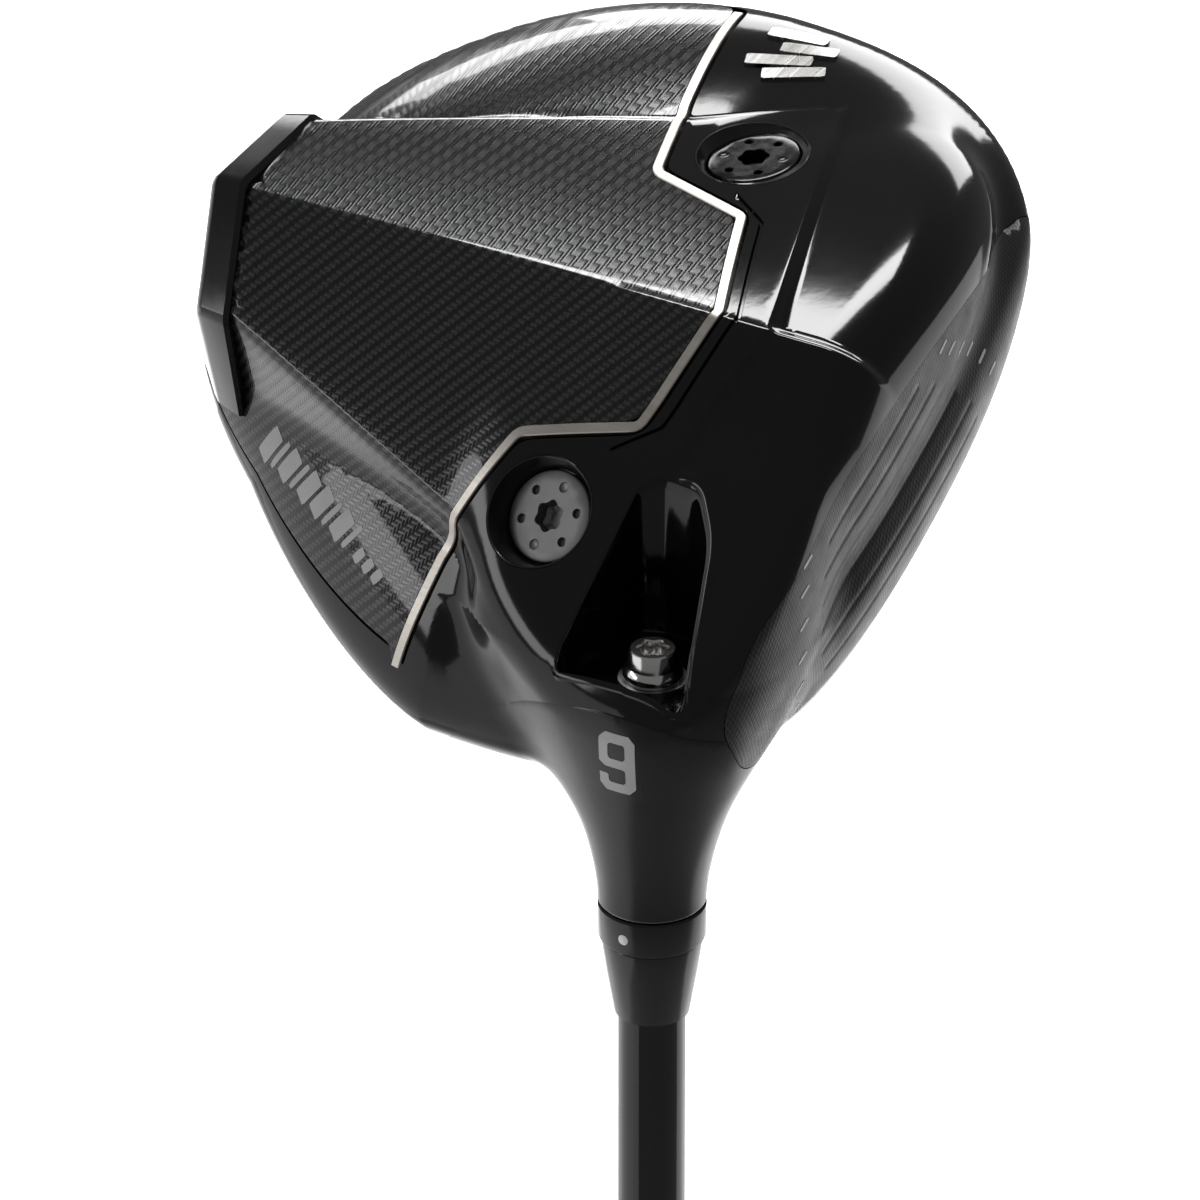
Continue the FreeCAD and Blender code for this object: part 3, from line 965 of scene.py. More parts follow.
def strip_rings(line, section):
    """Sweeps a section of (sideways, outward) corners along a plan line on the sole."""
    rows = []
    for side, out in section:
        q = below(offset(line, side))
        rows.append(q + normals(q) * out)
    n = len(line)
    m = len(section)
    v = np.stack(rows, 1).reshape(-1, 3)
    f = []
    for i in range(n - 1):
        for k in range(m):
            j = (k + 1) % m
            f.append((i * m + k, i * m + j, (i + 1) * m + j, (i + 1) * m + k))
    f.append(tuple(range(m))[::-1])
    f.append(tuple((n - 1) * m + k for k in range(m)))
    return v, f


def trim_strip():
    """Thin metal strip along the front of the sole panel."""
    w = 0.5 * STRIP_W
    section = [(-w, -1.0), (-w, 0.05), (-w + 0.13, 0.2), (w - 0.13, 0.2), (w, 0.05), (w, -1.0)]
    v, f = strip_rings(trim_line, section)
    return put("trim_strip", to_row(v), f, MAT["trim"], "head", None, 25, True, ["trim_strip"])


def rail(points):
    """A polyline with rounded corners, always of the same count of points."""
    radius = 1.0
    pts = [np.asarray(p, float) for p in points]
    out = [pts[0]]
    for a, b, c in zip(pts, pts[1:], pts[2:]):
        u = (a - b) / np.linalg.norm(a - b)
        w = (c - b) / np.linalg.norm(c - b)
        prev = out[-1]
        first = b + u * radius
        out += [prev + (first - prev) * s for s in (0.25, 0.5, 0.75)]
        for s in np.linspace(0, 1, 6):
            q0 = b + u * radius * (1 - s)
            q1 = b + w * radius * s
            out.append(q0 * (1 - s) + q1 * s)
    prev = out[-1]
    out += [prev + (pts[-1] - prev) * s for s in (0.25, 0.5, 0.75, 1)]
    return np.array(out)


def rear_cap():
    """Moulded cap over the cut-off back of the keel: a band round the edge and a sunk back."""
    inner = [(20.1, 97.4, 20.5), (15.7, 99.4, 6.8), (0.0, 100.2, 1.4), (-17.8, 95.0, 6.8),
             (-23.8, 94.0, 20.5)]
    outer = [(19.0, 102.4, 21.0), (14.7, 104.4, 7.1), (0.0, 105.3, 1.8), (-16.9, 100.3, 7.3),
             (-22.2, 98.8, 21.0)]
    back = [(15.6, 107.2, 26.0), (12.0, 110.2, 19.5), (0.0, 111.6, 18.0), (-12.5, 107.6, 19.5),
            (-17.5, 104.4, 25.5)]
    inner, outer, back = (np.array(q, float) for q in (inner, outer, back))
    mid = np.array([0.0, 96.0, 22.0])

    def toward_mid(q, by):
        d = mid - q
        return q + by * d / np.linalg.norm(d, axis=1, keepdims=True)

    band = outer - inner
    sunk = back - outer
    rows = [toward_mid(inner, 2.4), toward_mid(inner, 0.55), inner + band * 0.10 + [0, 0, -0.35],
            inner + band * 0.86 + [0, 0, -0.12], outer + sunk * 0.06, outer + sunk * 0.9, back,
            toward_mid(back, 2.0)]
    loops = [rail(r) for r in rows]
    n = len(loops[0])
    v = np.vstack(loops)
    f = []
    m = len(loops)
    for k in range(m):
        j = (k + 1) % m
        for i in range(n - 1):
            f.append((k * n + i, k * n + i + 1, j * n + i + 1, j * n + i))
    f.append(tuple(k * n for k in range(m)))
    f.append(tuple(k * n + n - 1 for k in range(m))[::-1])
    return put("rear_cap", to_row(v), f, MAT["cap"], "head", None, 22, True, ["rear_cap"])


def plate(vs, fs, lift_up, height, thick):
    """A thin shape lying on the head: flat points vs, the chart that lifts them, its height and depth."""
    p = lift_up(vs)
    n = normals(p)
    row = to_row(p + n * np.reshape(height(p) if callable(height) else height, (-1, 1)))
    nr = row_way(n)
    return closed_shell(row, turn_out(row, fs, nr), thick * MM, nr)


def plates(name, shapes, lift_up, pitch, height, thick, mat, nodes=()):
    """One piece made of thin raised shapes, given as closed flat outlines."""
    parts = []
    for loop in shapes:
        vs, fs, _ = clean(*fill(loop, [], [], pitch))
        parts.append(plate(vs, fs, lift_up, height, thick))
    v, f = join_parts(parts)
    return put(name, v, f, mat, "head", nodes=nodes)


def bar(a, b, width):
    """Outline of a bar from a to b in plan."""
    d = (b - a) / np.linalg.norm(b - a)
    half = np.array([-d[1], d[0]]) * width / 2
    return rounded([a - half, b - half, b + half, a + half], 0.15, 0.6, closed=True)


# lathe work about the shaft axis and about the weights

def ring(a, r, t):
    """Points about the shaft axis at angles a, radius r, distance t up the shaft."""
    return np.stack([r * np.cos(a), r * np.sin(a), LENGTH - t + 0 * a], -1) * MM


def turned(name, profile, mat, body, seg=96, radius_at=None):
    """A closed lathe piece; profile is a run of (radius, distance up the shaft)."""
    a = around(seg)
    loops = []
    for k, (r, t) in enumerate(profile):
        loops.append(ring(a, radius_at(a, r, k) if radius_at else r, t))
    v, f = ring_strip(loops, closed=True)
    return put(name, v, f, mat, body, None, 28, True, [name])


def lobed(a, r, depth=0.17):
    """Radius of a six-lobed socket at angles a."""
    return r * (1 - depth * 0.5 + depth * 0.5 * np.cos(6 * a))


def pod_points(side, r, a, h):
    """Points about the axis of a weight, h out from its centre."""
    c, n, e, g = pod_axes(side)
    return c + (r * np.cos(a))[:, None] * e + (r * np.sin(a))[:, None] * g + h[:, None] * n


def pod_height(side, r, a):
    """How far out from the weight's centre the surface lies."""
    c, n, _, _ = pod_axes(side)
    o = pod_points(side, r + 0 * a, a, -4 + 0 * a)
    q = along(o, np.tile(n, (len(a), 1)), 0, 9)
    return (q - c) @ n


def weight_port(side, name):
    """Cup with a thin lip and sloped walls that the weight screws into."""
    a = around(84)
    h = pod_height(side, 7.6, a)
    hi = pod_height(side, 7.25, a)
    one = 1 + 0 * a
    rows = [(7.61, h - 1.5), (7.61, h - 0.05), (7.54, h + 0.06), (7.40, h + 0.06), (7.30, hi - 0.05),
            (7.22, hi - 0.3), (6.50, -0.95 * one), (6.36, -1.15 * one), (6.32, -3.55 * one),
            (4.25, -3.6 * one), (4.25, -4.4 * one), (7.3, -4.4 * one)]
    loops = [pod_points(side, r + 0 * a, a, z) for r, z in rows]
    v, f = ring_strip(loops, closed=True)
    return put(name, to_row(v), f, MAT["port"], "head", None, 24, True, [name])


def sole_weight(side, name, mat, body):
    """Weight disc with its drive socket, four round holes and two shallow dimples."""
    c, n, e, g = pod_axes(side)
    unit = circle(1.0, 96)
    socket = lobed(around(96), 2.2)[:, None] * unit
    holes = []
    for k in range(6):
        t = math.radians(HOLE_START[side] + 60 * k)
        at = HOLE_OUT * np.array([math.cos(t), math.sin(t)])
        dimple = k in DIMPLES[side]
        holes.append((at, circle(0.72 if dimple else 0.66, 28), DIMPLE if dimple else HOLE))

    def laid(q, drop):
        return c + q[:, :1] * e + q[:, 1:] * g + (DISC_TOP - drop) * n

    def sunk(at, loop, steps):
        """A pocket: its outline scaled by each step's first number, as deep as its second."""
        v, f = ring_strip([laid(at + loop * s, drop) for s, drop in steps])
        return v, f + [tuple(len(v) - len(loop) + i for i in range(len(loop)))]

    vs, fs, _ = fill(DISC[0][0] * unit, [socket] + [at + loop for at, loop, _ in holes], [], 0.9)
    parts = [(laid(vs, 0), fs), sunk(0, unit, DISC), sunk(0, socket, SOCKET)]
    parts += [sunk(*hole) for hole in holes]
    v, f = merge(*join_parts(parts))
    return put(name, to_row(v), f, mat, body, None, 26, True, [name])


DISC_TOP = -0.8  # height of the disc over the centre of the weight
HOLE_OUT = 4.15
HOLE_START = {1: 12.0, -1: 20.0}
DIMPLES = {1: (0, 3), -1: (1, 4)}

# profiles downward from the top of the disc: radius or share of the outline, and depth
DISC = ((5.75, 0), (5.98, 0.08), (6.12, 0.3), (6.15, 0.6), (6.15, 2.4), (4.0, 2.4), (4.0, 9.0), (3.4, 9.4))
SOCKET = ((1, 0), (0.965, 0.12), (0.95, 2.0), (0.6, 2.35))
DIMPLE = ((1, 0), (0.93, 0.05), (0.86, 0.16), (0.5, 0.26))
HOLE = ((1, 0), (0.9, 0.1), (0.86, 0.75), (0.6, 0.8))


# ---- materials ----

YARN = 0.00049  # width of one yarn of the carbon cloth, metres


class Mat:
    """A principled material and the nodes that feed it."""

    def __init__(self, name):
        self.m = bpy.data.materials.new(name)
        self.m.use_nodes = True
        self.t = self.m.node_tree
        self.b = next(n for n in self.t.nodes if n.type == "BSDF_PRINCIPLED")
        self.co = self.t.nodes.new("ShaderNodeTexCoord").outputs["Object"]

    def node(self, kind, inputs=None, **props):
        """A new node, its inputs linked or set."""
        n = self.t.nodes.new(kind)
        for k, v in props.items():
            setattr(n, k, v)
        for k, v in (inputs or {}).items():
            self.feed(n.inputs[k], v)
        return n

    def feed(self, socket, v):
        if isinstance(v, bpy.types.NodeSocket):
            self.t.links.new(v, socket)
        else:
            socket.default_value = v

    def math(self, op, a, b=0.0, c=0.0):
        n = self.node("ShaderNodeMath", operation=op)
        for s, v in zip(n.inputs, (a, b, c)):
            self.feed(s, v)
        return n.outputs[0]

    def scaled(self, sx, sy, sz):
        """Object coordinates, scaled along each axis."""
        return self.node("ShaderNodeMapping", {"Vector": self.co, "Scale": (sx, sy, sz)}).outputs[0]

    def noise(self, scale, detail=2.0, co=None):
        inputs = {"Vector": co or self.co, "Scale": scale, "Detail": detail, "Roughness": 0.5}
        return self.node("ShaderNodeTexNoise", inputs).outputs[0]

    def span(self, v, a, b, lo=0.0, hi=1.0):
        """v, taken from lo..hi to a..b."""
        inputs = {"Value": v, "From Min": lo, "From Max": hi, "To Min": a, "To Max": b}
        return self.node("ShaderNodeMapRange", inputs).outputs[0]

    def mix(self, f, a, b):
        """Colour a where f is 0, b where it is 1."""
        n = self.node("ShaderNodeMix", data_type="RGBA")
        self.feed(n.inputs[0], f)
        self.feed(n.inputs[6], (*a, 1))
        self.feed(n.inputs[7], (*b, 1))
        return n.outputs[2]

    def bump(self, height, dist, strength=1.0):
        n = self.node("ShaderNodeBump", {"Height": height, "Distance": dist, "Strength": strength})
        self.t.links.new(n.outputs[0], self.b.inputs["Normal"])

    def set(self, **kw):
        names = {"color": "Base Color", "rough": "Roughness", "metal": "Metallic", "coat": "Coat Weight",
                 "coat_rough": "Coat Roughness", "ior": "IOR", "spec": "Specular IOR Level"}
        for k, v in kw.items():
            self.feed(self.b.inputs[names[k]], v)


def gloss(name, color, rough, grain):
    """Glossy black, a little cloudy; grain is how much its roughness varies."""
    m = Mat(name)
    wide = m.noise(55, 3)
    cloudy = m.span(wide, rough - grain * 0.3, rough + grain * 0.7, 0.3, 0.7)
    worn = m.math("MULTIPLY_ADD", m.noise(900, 2), grain * 0.5, cloudy)
    lighter = tuple(c * 1.35 + 0.001 for c in color)
    m.set(color=m.mix(wide, color, lighter), rough=worn, ior=1.42)
    m.bump(m.noise(420, 3), 0.000010)
    return m


def head_paint():
    """Gloss lacquer that turns satin on the neck."""
    m = Mat("paint")
    sep = m.node("ShaderNodeSeparateXYZ", {"Vector": m.co})
    up = m.math("SUBTRACT", LENGTH * MM, sep.outputs[2])
    off = m.math("SUBTRACT", sep.outputs[1], 0.001)
    edge = m.math("MULTIPLY_ADD", m.math("MULTIPLY", off, off), 18.0, 0.0233)
    satin = m.span(m.math("SUBTRACT", up, edge), 0.0, 1.0, -0.00004, 0.00004)
    fine = m.noise(1200, 2)
    worn = m.math("MULTIPLY_ADD", fine, 0.015, m.span(m.noise(55, 3), 0.075, 0.10, 0.3, 0.7))
    soft = m.math("MULTIPLY_ADD", fine, 0.06, 0.22)
    rough = m.math("ADD", worn, m.math("MULTIPLY", satin, m.math("SUBTRACT", soft, worn)))
    m.set(color=m.mix(satin, (0.003, 0.003, 0.0032), (0.011, 0.011, 0.0115)), rough=rough, ior=1.4)
    m.bump(m.noise(420, 3), 0.000010)
    return m


def carbon(name, bright):
    """Twill cloth under clear lacquer, its yarns along the object's y and z; its colour is partly the weave
    pattern and partly a painted sheen on the yarns.
    """
    m = Mat(name)
    sep = m.node("ShaderNodeSeparateXYZ", {"Vector": m.co})
    u = m.math("MULTIPLY", sep.outputs[1], 1 / YARN)
    v = m.math("MULTIPLY", sep.outputs[2], 1 / YARN)
    fu = m.math("FLOOR", u)
    fv = m.math("FLOOR", v)
    over = m.math("LESS_THAN", m.math("FLOORED_MODULO", m.math("ADD", fu, fv), 4.0), 1.5)
    du = m.math("ABSOLUTE", m.math("SUBTRACT", m.math("SUBTRACT", u, fu), 0.5))
    dv = m.math("ABSOLUTE", m.math("SUBTRACT", m.math("SUBTRACT", v, fv), 0.5))
    under = m.math("SUBTRACT", 1.0, over)
    across = m.math("ADD", m.math("MULTIPLY", dv, over), m.math("MULTIPLY", du, under))
    # painted sheen: each yarn is coloured brighter along its middle, where a highlight along the fibres
    # would fall; the same profile also gives the bump its height
    crown = m.math("SUBTRACT", 1.0, m.math("MULTIPLY", m.math("POWER", across, 2.0), 3.4))
    strands = m.noise(1.0, 1.0, m.scaled(900, 900, 5200))
    # painted sheen: the yarns lying on top are coloured brighter than those under them, as light catching
    # their fibres would make them; the strand noise below is a random tone
    shade = m.math("MULTIPLY", crown, m.span(over, 0.22, 1.0))
    shade = m.math("MULTIPLY", shade, m.span(strands, 0.7, 1.25, 0.3, 0.7))
    m.set(color=m.mix(shade, (0.002, 0.002, 0.0021), (bright, bright, bright * 1.03)), metal=0.55,
          rough=m.span(over, 0.15, 0.22), coat=0.55, coat_rough=0.05, spec=0.3)
    m.bump(m.math("ADD", crown, m.math("MULTIPLY", over, 0.5)), 0.00003, 0.7)
    return m


def brushed(name, color, rough, stretch=(60, 4000, 60), metal=1.0):
    """Metal with fine lines; stretch is how fine along each axis."""
    m = Mat(name)
    lines = m.noise(1.0, 3.0, m.scaled(*stretch))
    cloud = m.noise(120, 3)
    lined = m.span(lines, rough - 0.04, rough + 0.04, 0.3, 0.7)
    m.set(color=m.mix(cloud, tuple(c * 0.86 for c in color), color), metal=metal,
          rough=m.math("ADD", lined, m.span(cloud, -0.02, 0.02)))
    m.bump(lines, 0.000004)
    return m


def matte(name, color, rough, scale, depth):
    """Print, tape or rubber: an even, dull grain."""
    m = Mat(name)
    n = m.noise(scale, 4)
    c = m.noise(scale * 0.06, 3)
    m.set(color=m.mix(c, tuple(k * 0.8 for k in color), tuple(min(1, k * 1.2) for k in color)),
          rough=m.span(n, rough - 0.06, rough + 0.06, 0.3, 0.7), metal=0.0)
    m.bump(n, depth)
    return m


def milled(name):
    """Face: fine diagonal milling over dark plated metal."""
    m = Mat(name)
    sep = m.node("ShaderNodeSeparateXYZ", {"Vector": m.co})
    x = sep.outputs[0]
    slant = m.math("MULTIPLY", sep.outputs[2], 0.55)
    a = m.math("SINE", m.math("MULTIPLY", m.math("ADD", x, slant), 9500.0))
    b = m.math("SINE", m.math("MULTIPLY", m.math("SUBTRACT", x, slant), 9500.0))
    h = m.math("MULTIPLY", m.math("ADD", a, b), 0.5)
    shade = m.mix(m.span(h, 0.0, 1.0, -1.0, 1.0), (0.010, 0.010, 0.0105), (0.042, 0.042, 0.044))
    m.set(color=shade, metal=0.2, rough=m.span(m.noise(300, 3), 0.36, 0.45, 0.3, 0.7), spec=0.3)
    m.bump(h, 0.000014, 0.7)
    return m


MAT = {
    "paint": head_paint().m,
    "carbon": carbon("carbon", 0.05).m,
    "crown": carbon("crown", 0.03).m,
    "cap": gloss("cap", (0.004, 0.004, 0.0043), 0.12, 0.05).m,
    "trim": brushed("trim", (0.5, 0.47, 0.43), 0.38, (60, 60, 4000)).m,
    "badge": brushed("badge", (0.62, 0.61, 0.59), 0.24).m,
    "port": gloss("port", (0.006, 0.006, 0.0065), 0.14, 0.05).m,
    "face": milled("face").m,
    "weight_heel": brushed("weight_heel", (0.19, 0.19, 0.194), 0.42, (900, 900, 60), metal=0.85).m,
    "weight_toe": brushed("weight_toe", (0.007, 0.007, 0.0074), 0.16, (900, 900, 60), metal=0.6).m,
    "steel": brushed("steel", (0.66, 0.65, 0.64), 0.16, (40, 40, 5000)).m,
    "machined": brushed("machined", (0.35, 0.35, 0.36), 0.34, (300, 300, 6000)).m,
    "spring": brushed("spring", (0.4, 0.4, 0.4), 0.3).m,
    "ring": gloss("ring", (0.006, 0.006, 0.0065), 0.2, 0.05).m,
    "ferrule": gloss("ferrule", (0.006, 0.006, 0.0065), 0.13, 0.04).m,
    "shaft": gloss("shaft", (0.005, 0.005, 0.0054), 0.07, 0.03).m,
    "print": matte("print", (0.42, 0.42, 0.43), 0.45, 1800, 0.000006).m,
    "white": matte("white", (0.78, 0.78, 0.77), 0.5, 1800, 0.000006).m,
    "tape": matte("tape", (0.72, 0.68, 0.58), 0.8, 900, 0.00002).m,
    "rubber": matte("rubber", (0.016, 0.016, 0.0165), 0.72, 1500, 0.00004).m,
    "cap_rubber": matte("cap_rubber", (0.022, 0.022, 0.0225), 0.66, 1200, 0.00003).m,
}


# ---- pieces on the shaft side, and marks ----

def adapter_sleeve():
    """Sleeve round the shaft end, with its collar and the thread hole for the hosel screw."""
    profile = [(2.56, 25.2), (5.0, 25.2), (5.6, 25.8), (5.6, 54.36), (6.85, 54.36), (7.08, 54.6),
               (7.1, 54.9), (7.1, 58.85), (7.02, 59.2), (6.8, 59.34), (4.55, 59.34),
               (4.55, 39.7), (2.56, 39.7)]
    turned("adapter_sleeve", profile, MAT["ring"], "shaft_side")


def ferrule():
    """Tapered ring above the collar."""
    profile = [(4.5, 59.36), (6.5, 59.36), (6.64, 59.6), (6.62, 60.2), (6.1, 64.0), (5.5, 67.6),
               (5.12, 69.9), (4.98, 70.6), (4.8, 70.74), (4.5, 70.74)]
    turned("ferrule", profile, MAT["ferrule"], "shaft_side")


def hosel_screw():
    """Screw with a flanged head and a six-lobed socket."""
    profile = [(0.05, 38.3), (2.0, 38.3), (2.5, 37.8), (2.5, 21.36), (3.86, 21.36), (3.9, 21.2), (3.9, 20.5),
               (3.72, 20.1), (3.5, 19.75), (3.35, 19.55), (3.3, 19.2), (3.12, 17.6), (3.0, 17.3),
               (2.85, 17.18), (2.3, 17.18), (2.2, 17.24), (2.12, 17.4), (2.1, 19.7),
               (1.2, 20.2), (0.05, 20.2)]
    socket = range(14, 19)  # the places of the socket in the profile

    def radius_at(a, r, k):
        return lobed(a, r, 0.2) if k in socket else r

    turned("hosel_screw", profile, MAT["steel"], "hosel_screw", 120, radius_at)


def loft_mark():
    """A blocky 9 on the neck, its outline in (distance up the shaft, toward the back)."""
    t0 = 25.4
    t1 = 34.0
    y0 = -2.9
    y1 = 2.3
    w = 1.35  # width of a stroke
    c = 0.9  # cut of an outer corner
    k = 0.3  # cut of an inner corner
    outer = [(t0, y0 + c), (t0 + c, y0), (t1 - c, y0), (t1, y0 + c), (t1, y1 - c), (t1 - c, y1),
             (t1 - 2.5, y1), (t1 - 2.5, y1 - w), (t1 - w - 0.2, y1 - w), (t1 - w, y1 - w - k),
             (t1 - w, y0 + w + k), (t1 - w - k, y0 + w), (t0 + 5.3, y0 + w), (t0 + 5.0, y0 + w + k),
             (t0 + 5.0, y1 - c), (t0 + 4.4, y1), (t0 + c, y1), (t0, y1 - c)]
    hole = [(t0 + w, y0 + w + k), (t0 + w, y1 - w - k), (t0 + w + k, y1 - w), (t0 + 3.4, y1 - w),
            (t0 + 3.7, y1 - w - k), (t0 + 3.7, y0 + w + k), (t0 + 3.4, y0 + w), (t0 + w + k, y0 + w)]
    outer = resample(np.array(outer), 0.3, True)
    hole = resample(np.array(hole), 0.3, True)
    vs, fs, _ = clean(*fill(outer, [hole], [], 0.6))

    def on_neck(q):
        return neck_front(q[:, 1], q[:, 0])

    def over_paint(p):
        return relief(p) + 0.06

    v, f = plate(vs, fs, on_neck, over_paint, 0.1)
    put("loft_mark", v, f, MAT["print"], "head")


def index_dot():
    """White dot on the collar of the sleeve."""
    a = around(28)
    rows = []
    for r, h in ((0.72, 7.0), (0.72, 7.12), (0.62, 7.16), (0.01, 7.17)):
        y = r * np.cos(a)
        x = -np.sqrt(h * h - y * y)
        rows.append(np.stack([x, y, LENGTH - 57.0 - r * np.sin(a)], -1) * MM)
    v, f = ring_strip(rows)
    f = f + [tuple(range(len(a)))]
    put("index_dot", v, f, MAT["white"], "shaft_side", fix=True)


def face_marks():
    """Short dashes that curve round the hitting area, on either side of the score lines."""
    heel = [(-24.4, 11.8), (-27.0, 15.0), (-29.4, 19.4), (-31.8, 23.8), (-33.6, 28.8), (-34.3, 34.0)]
    toe = [(12.6, 15.5), (14.1, 18.0), (16.0, 21.0), (18.3, 24.8), (19.3, 27.8), (19.7, 31.0)]
    dashes = []
    for x, z in heel + toe:
        corners = [(x - 1.2, z - 0.22), (x + 1.2, z - 0.22), (x + 1.2, z + 0.22), (x - 1.2, z + 0.22)]
        dashes.append(rounded(corners, 0.2, 0.4, closed=True))
    plates("face_marks", dashes, FACE.lift, 0.5, 0.05, 0.08, MAT["white"])


def badge():
    """Plain raised bars where the maker's sign would sit."""
    far = np.array([[53.6, 53.0], [55.4, 43.2]])
    near = np.array([[41.6, 51.6], [47.4, 41.2]])
    bars = []
    for k, s in enumerate((0.06, 0.34, 0.62, 0.90)):
        p0, p1 = far + (near - far) * s
        d = p1 - p0
        bars.append(bar(p0 + d * 0.30 * (k % 2), p1 - d * 0.22 * ((k + 1) % 2), 2.1))
    plates("badge", bars, below, 1.0, 0.45, 0.9, MAT["badge"], ["badge"])


def panel_marks():
    """Slanted bars in place of lettering near the edge of the sole panel: a tall row, then a short one."""
    start = np.array([-27.6, 89.6])
    end = np.array([-42.6, 61.6])
    d = (end - start) / np.linalg.norm(end - start)
    s = np.array([-d[1], d[0]])
    bars = []
    at = 0.0
    tall_row = ([2.6, 0.9, 2.6, 0.9, 2.6, 2.6, 0.9, 2.6, 0.9], 3.4, 0.5, 0.75)
    short_row = ([1.4, 1.4, 1.4], 1.7, 0.25, 0.75)
    for widths, height, lean, space in (tall_row, short_row):
        for w in widths:
            foot = start + d * (at + w / 2) + s * 0.2
            bars.append(bar(foot - d * lean, foot + s * height + d * lean, w))
            at += w + space
        at += 0.85
    plates("panel_marks", bars, below, 1.0, 0.05, 0.1, MAT["print"])


def grip_cut(a, u):
    """Depth of the crosshatch at angles a, u along the grip; every other band is shallower."""
    if not 12 < u < 250:
        return 0.0 * a
    w = np.cos(12 * a + u * 0.36) * np.cos(12 * a - u * 0.36)
    cut = 0.28 * np.clip(np.abs(w) * 3 - 0.5, 0, 1) - 0.28
    return cut * (1 if int(u / 38) % 2 == 0 else 0.35)


def grip():
    """Tapered rubber grip, open for the shaft and the tape."""
    a = around(120)
    mouth = LENGTH - 267.0
    heights = [mouth, mouth + 0.8, LENGTH - 120, LENGTH - 15, LENGTH - 5, LENGTH - 3]
    radii = [9.2, 9.7, 11.5, 12.8, 13.2, 13.0]
    ends = ([mouth + 0.02, mouth + 0.05, mouth + 0.5], [LENGTH - 3.4, LENGTH - 3.02])
    up = np.concatenate([ends[0], np.linspace(mouth + 1.0, LENGTH - 5.0, 220), ends[1]])
    loops = []
    for t in up:
        loops.append(ring(a, np.interp(t, heights, radii) + grip_cut(a, t - mouth), t))
    for t in (up[-1], up[0]):
        loops.append(ring(a, 7.86, t))
    v, f = ring_strip(loops, closed=True)
    put("grip", v, f, MAT["rubber"], "shaft_side", None, 30, True, ["grip"])


head_body()
sole_panel()
crown_panel()
face_plate()
trim_strip()
rear_cap()
weight_port(1, "weight_port_heel")
weight_port(-1, "weight_port_toe")
sole_weight(1, "heel_weight", MAT["weight_heel"], "heel_weight")
sole_weight(-1, "toe_weight", MAT["weight_toe"], "toe_weight")
hosel_screw()
adapter_sleeve()
ferrule()
loft_mark()
index_dot()
face_marks()
badge()
panel_marks()
grip()

# pieces shown as the CAD has them, and the look of each
CARRIED = {"shaft": "shaft", "hosel_tube": "machined", "hosel_screw_washer": "machined",
           "heel_weight_washer": "machined", "toe_weight_washer": "machined", "screw_retainer": "spring",
           "grip_tape": "tape", "grip_end_cap": "cap_rubber"}
for node, look in CARRIED.items():
    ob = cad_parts[node]
    ob.data.materials.clear()
    ob.data.materials.append(MAT[look])


# ---- floor, light and camera ----

# the camera's right and up, and the direction from the head toward it
RIGHT = np.array([0.530, -0.848, 0.0])
UP = np.array([0.411, 0.257, 0.875])
TOWARD = np.array([-0.742, -0.464, 0.485])
HEAD_AT = np.array([0.0275, 0.0082, 1.1665])

LAMP_DISTANCE = 1.35
CAMERA_DISTANCE = 1.5
AIM_RIGHT = 0.0095726  # how far the view is shifted, as a share of the camera's distance
AIM_UP = 0.0245299
FLOOR_HALF = 9
FLOOR_CELLS = 24
FLOOR_Z = -0.002
BACK_SPOT = np.array([1.9, 1.2, 0.0])  # the floor behind the head


def turn_to(ob, way):
    """Turns a lamp or the camera to look along way."""
    ob.rotation_mode = "QUATERNION"
    ob.rotation_quaternion = Vector(way).to_track_quat("-Z", "Y")


def card(name, at, look, sx, sy, power, spread=180):
    """A soft box at one point that faces another."""
    lamp = bpy.data.lights.new(name, "AREA")
    lamp.shape = "RECTANGLE"
    lamp.size = sx
    lamp.size_y = sy
    lamp.energy = power
    lamp.spread = math.radians(spread)
    ob = bpy.data.objects.new(name, lamp)
    bpy.context.scene.collection.objects.link(ob)
    ob.location = at
    turn_to(ob, look - at)


def lit(name, right, up, sx, sy, power):
    """A soft box at this many degrees to the right of and above the line from the head to the camera."""
    turn = math.radians(math.hypot(right, up))
    side = (RIGHT * right + UP * up) / math.hypot(right, up)
    at = HEAD_AT + LAMP_DISTANCE * (TOWARD * math.cos(turn) + side * math.sin(turn))
    card(name, at, HEAD_AT, sx, sy, power)


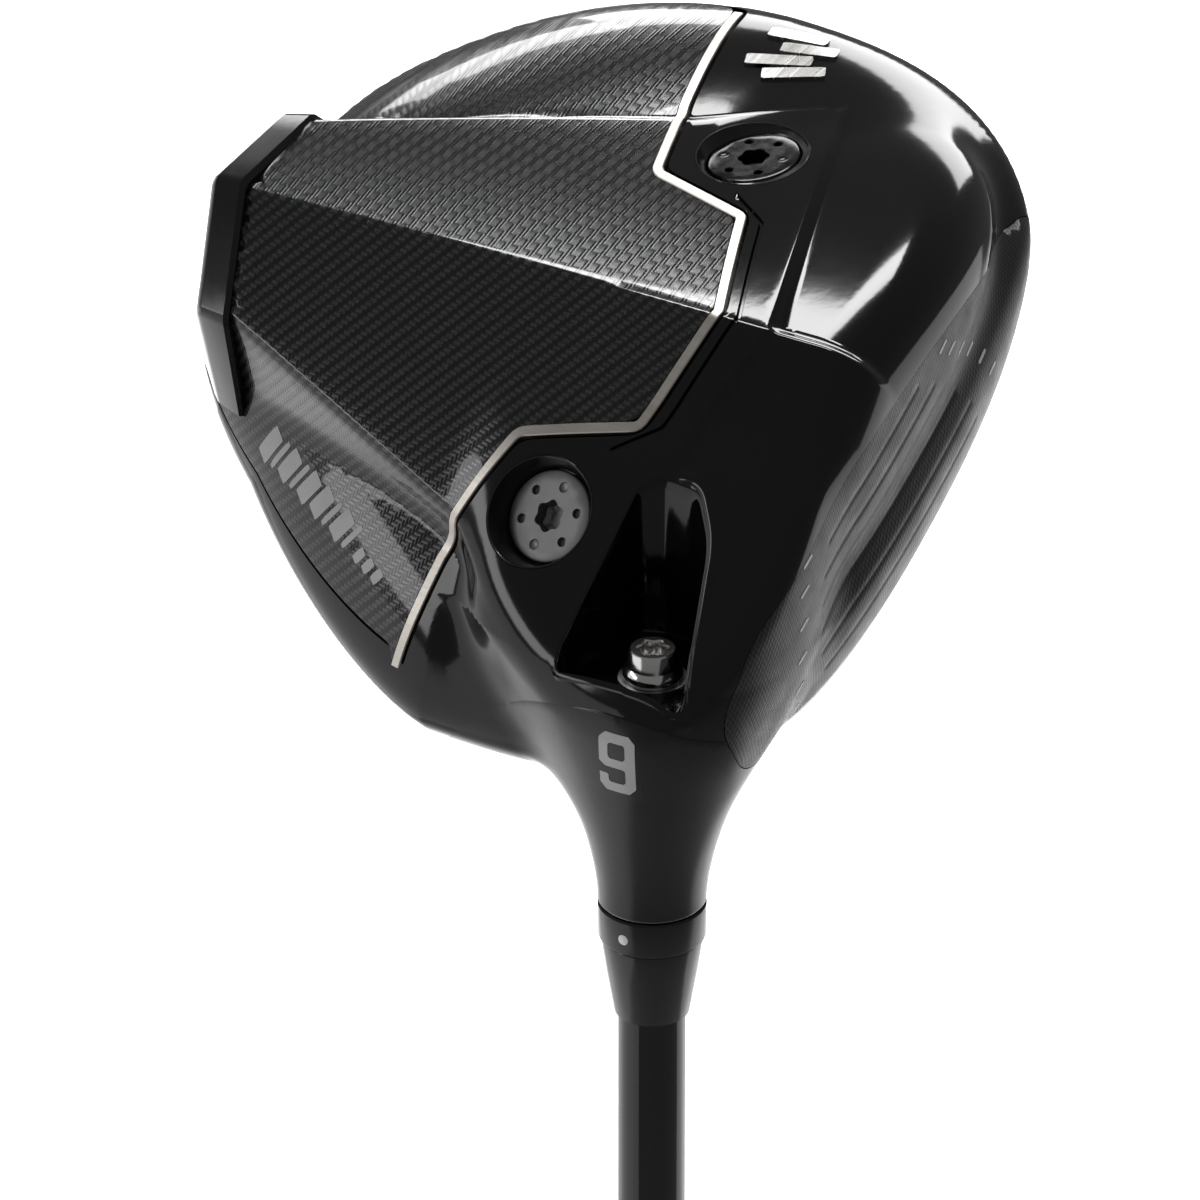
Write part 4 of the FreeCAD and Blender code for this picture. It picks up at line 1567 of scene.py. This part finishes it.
def floor():
    """A wide pale floor."""
    look = Mat("floor")
    cloud = look.noise(6, 3)
    look.set(color=look.mix(cloud, (0.86, 0.86, 0.86), (0.9, 0.9, 0.9)), rough=look.span(cloud, 0.85, 0.95))
    look.bump(look.noise(500, 2), 0.0001)
    g = np.linspace(-FLOOR_HALF, FLOOR_HALF, FLOOR_CELLS + 1)
    row = len(g)
    corners = [j * row + i for j in range(FLOOR_CELLS) for i in range(FLOOR_CELLS)]
    me = bpy.data.meshes.new("floor")
    me.from_pydata([(x, y, FLOOR_Z) for y in g for x in g], [],
                   [(k, k + 1, k + row + 1, k + row) for k in corners])
    me.materials.append(look.m)
    ob = bpy.data.objects.new("floor", me)
    bpy.context.scene.collection.objects.link(ob)


def daylight():
    """Even white light from everywhere."""
    world = bpy.data.worlds.new("studio")
    bpy.context.scene.world = world
    world.use_nodes = True
    bg = next(n for n in world.node_tree.nodes if n.type == "BACKGROUND")
    bg.inputs["Color"].default_value = (1, 1, 1, 1)
    bg.inputs["Strength"].default_value = 0.2


def camera():
    """A long lens, from the sole side and above."""
    cam = bpy.data.cameras.new("cam")
    cam.lens = 351.0
    cam.sensor_width = 36.0
    cam.clip_start = 0.05
    cam.clip_end = 50
    ob = bpy.data.objects.new("cam", cam)
    bpy.context.scene.collection.objects.link(ob)
    ob.location = HEAD_AT + CAMERA_DISTANCE * (TOWARD - AIM_RIGHT * RIGHT - AIM_UP * UP)
    turn_to(ob, -TOWARD)
    bpy.context.scene.camera = ob


floor()
daylight()
lit("box_behind", 33, 127, 0.95, 0.42, 9)
lit("box_top", -8, 92, 0.66, 0.23, 10)
lit("box_heel", -74, 19, 0.85, 0.2, 2.4)
lit("box_low", -92, -36, 2.0, 1.8, 11)
lit("box_rim", -45, 117, 0.42, 0.2, 2.2)
lit("box_face", 119, -36, 0.9, 0.9, 3.0)
card("floor_light", BACK_SPOT + np.array([0.3, 0.2, 2.6]), BACK_SPOT, 1.6, 1.6, 70, 80)
camera()
bpy.context.scene.view_settings.view_transform = "Standard"
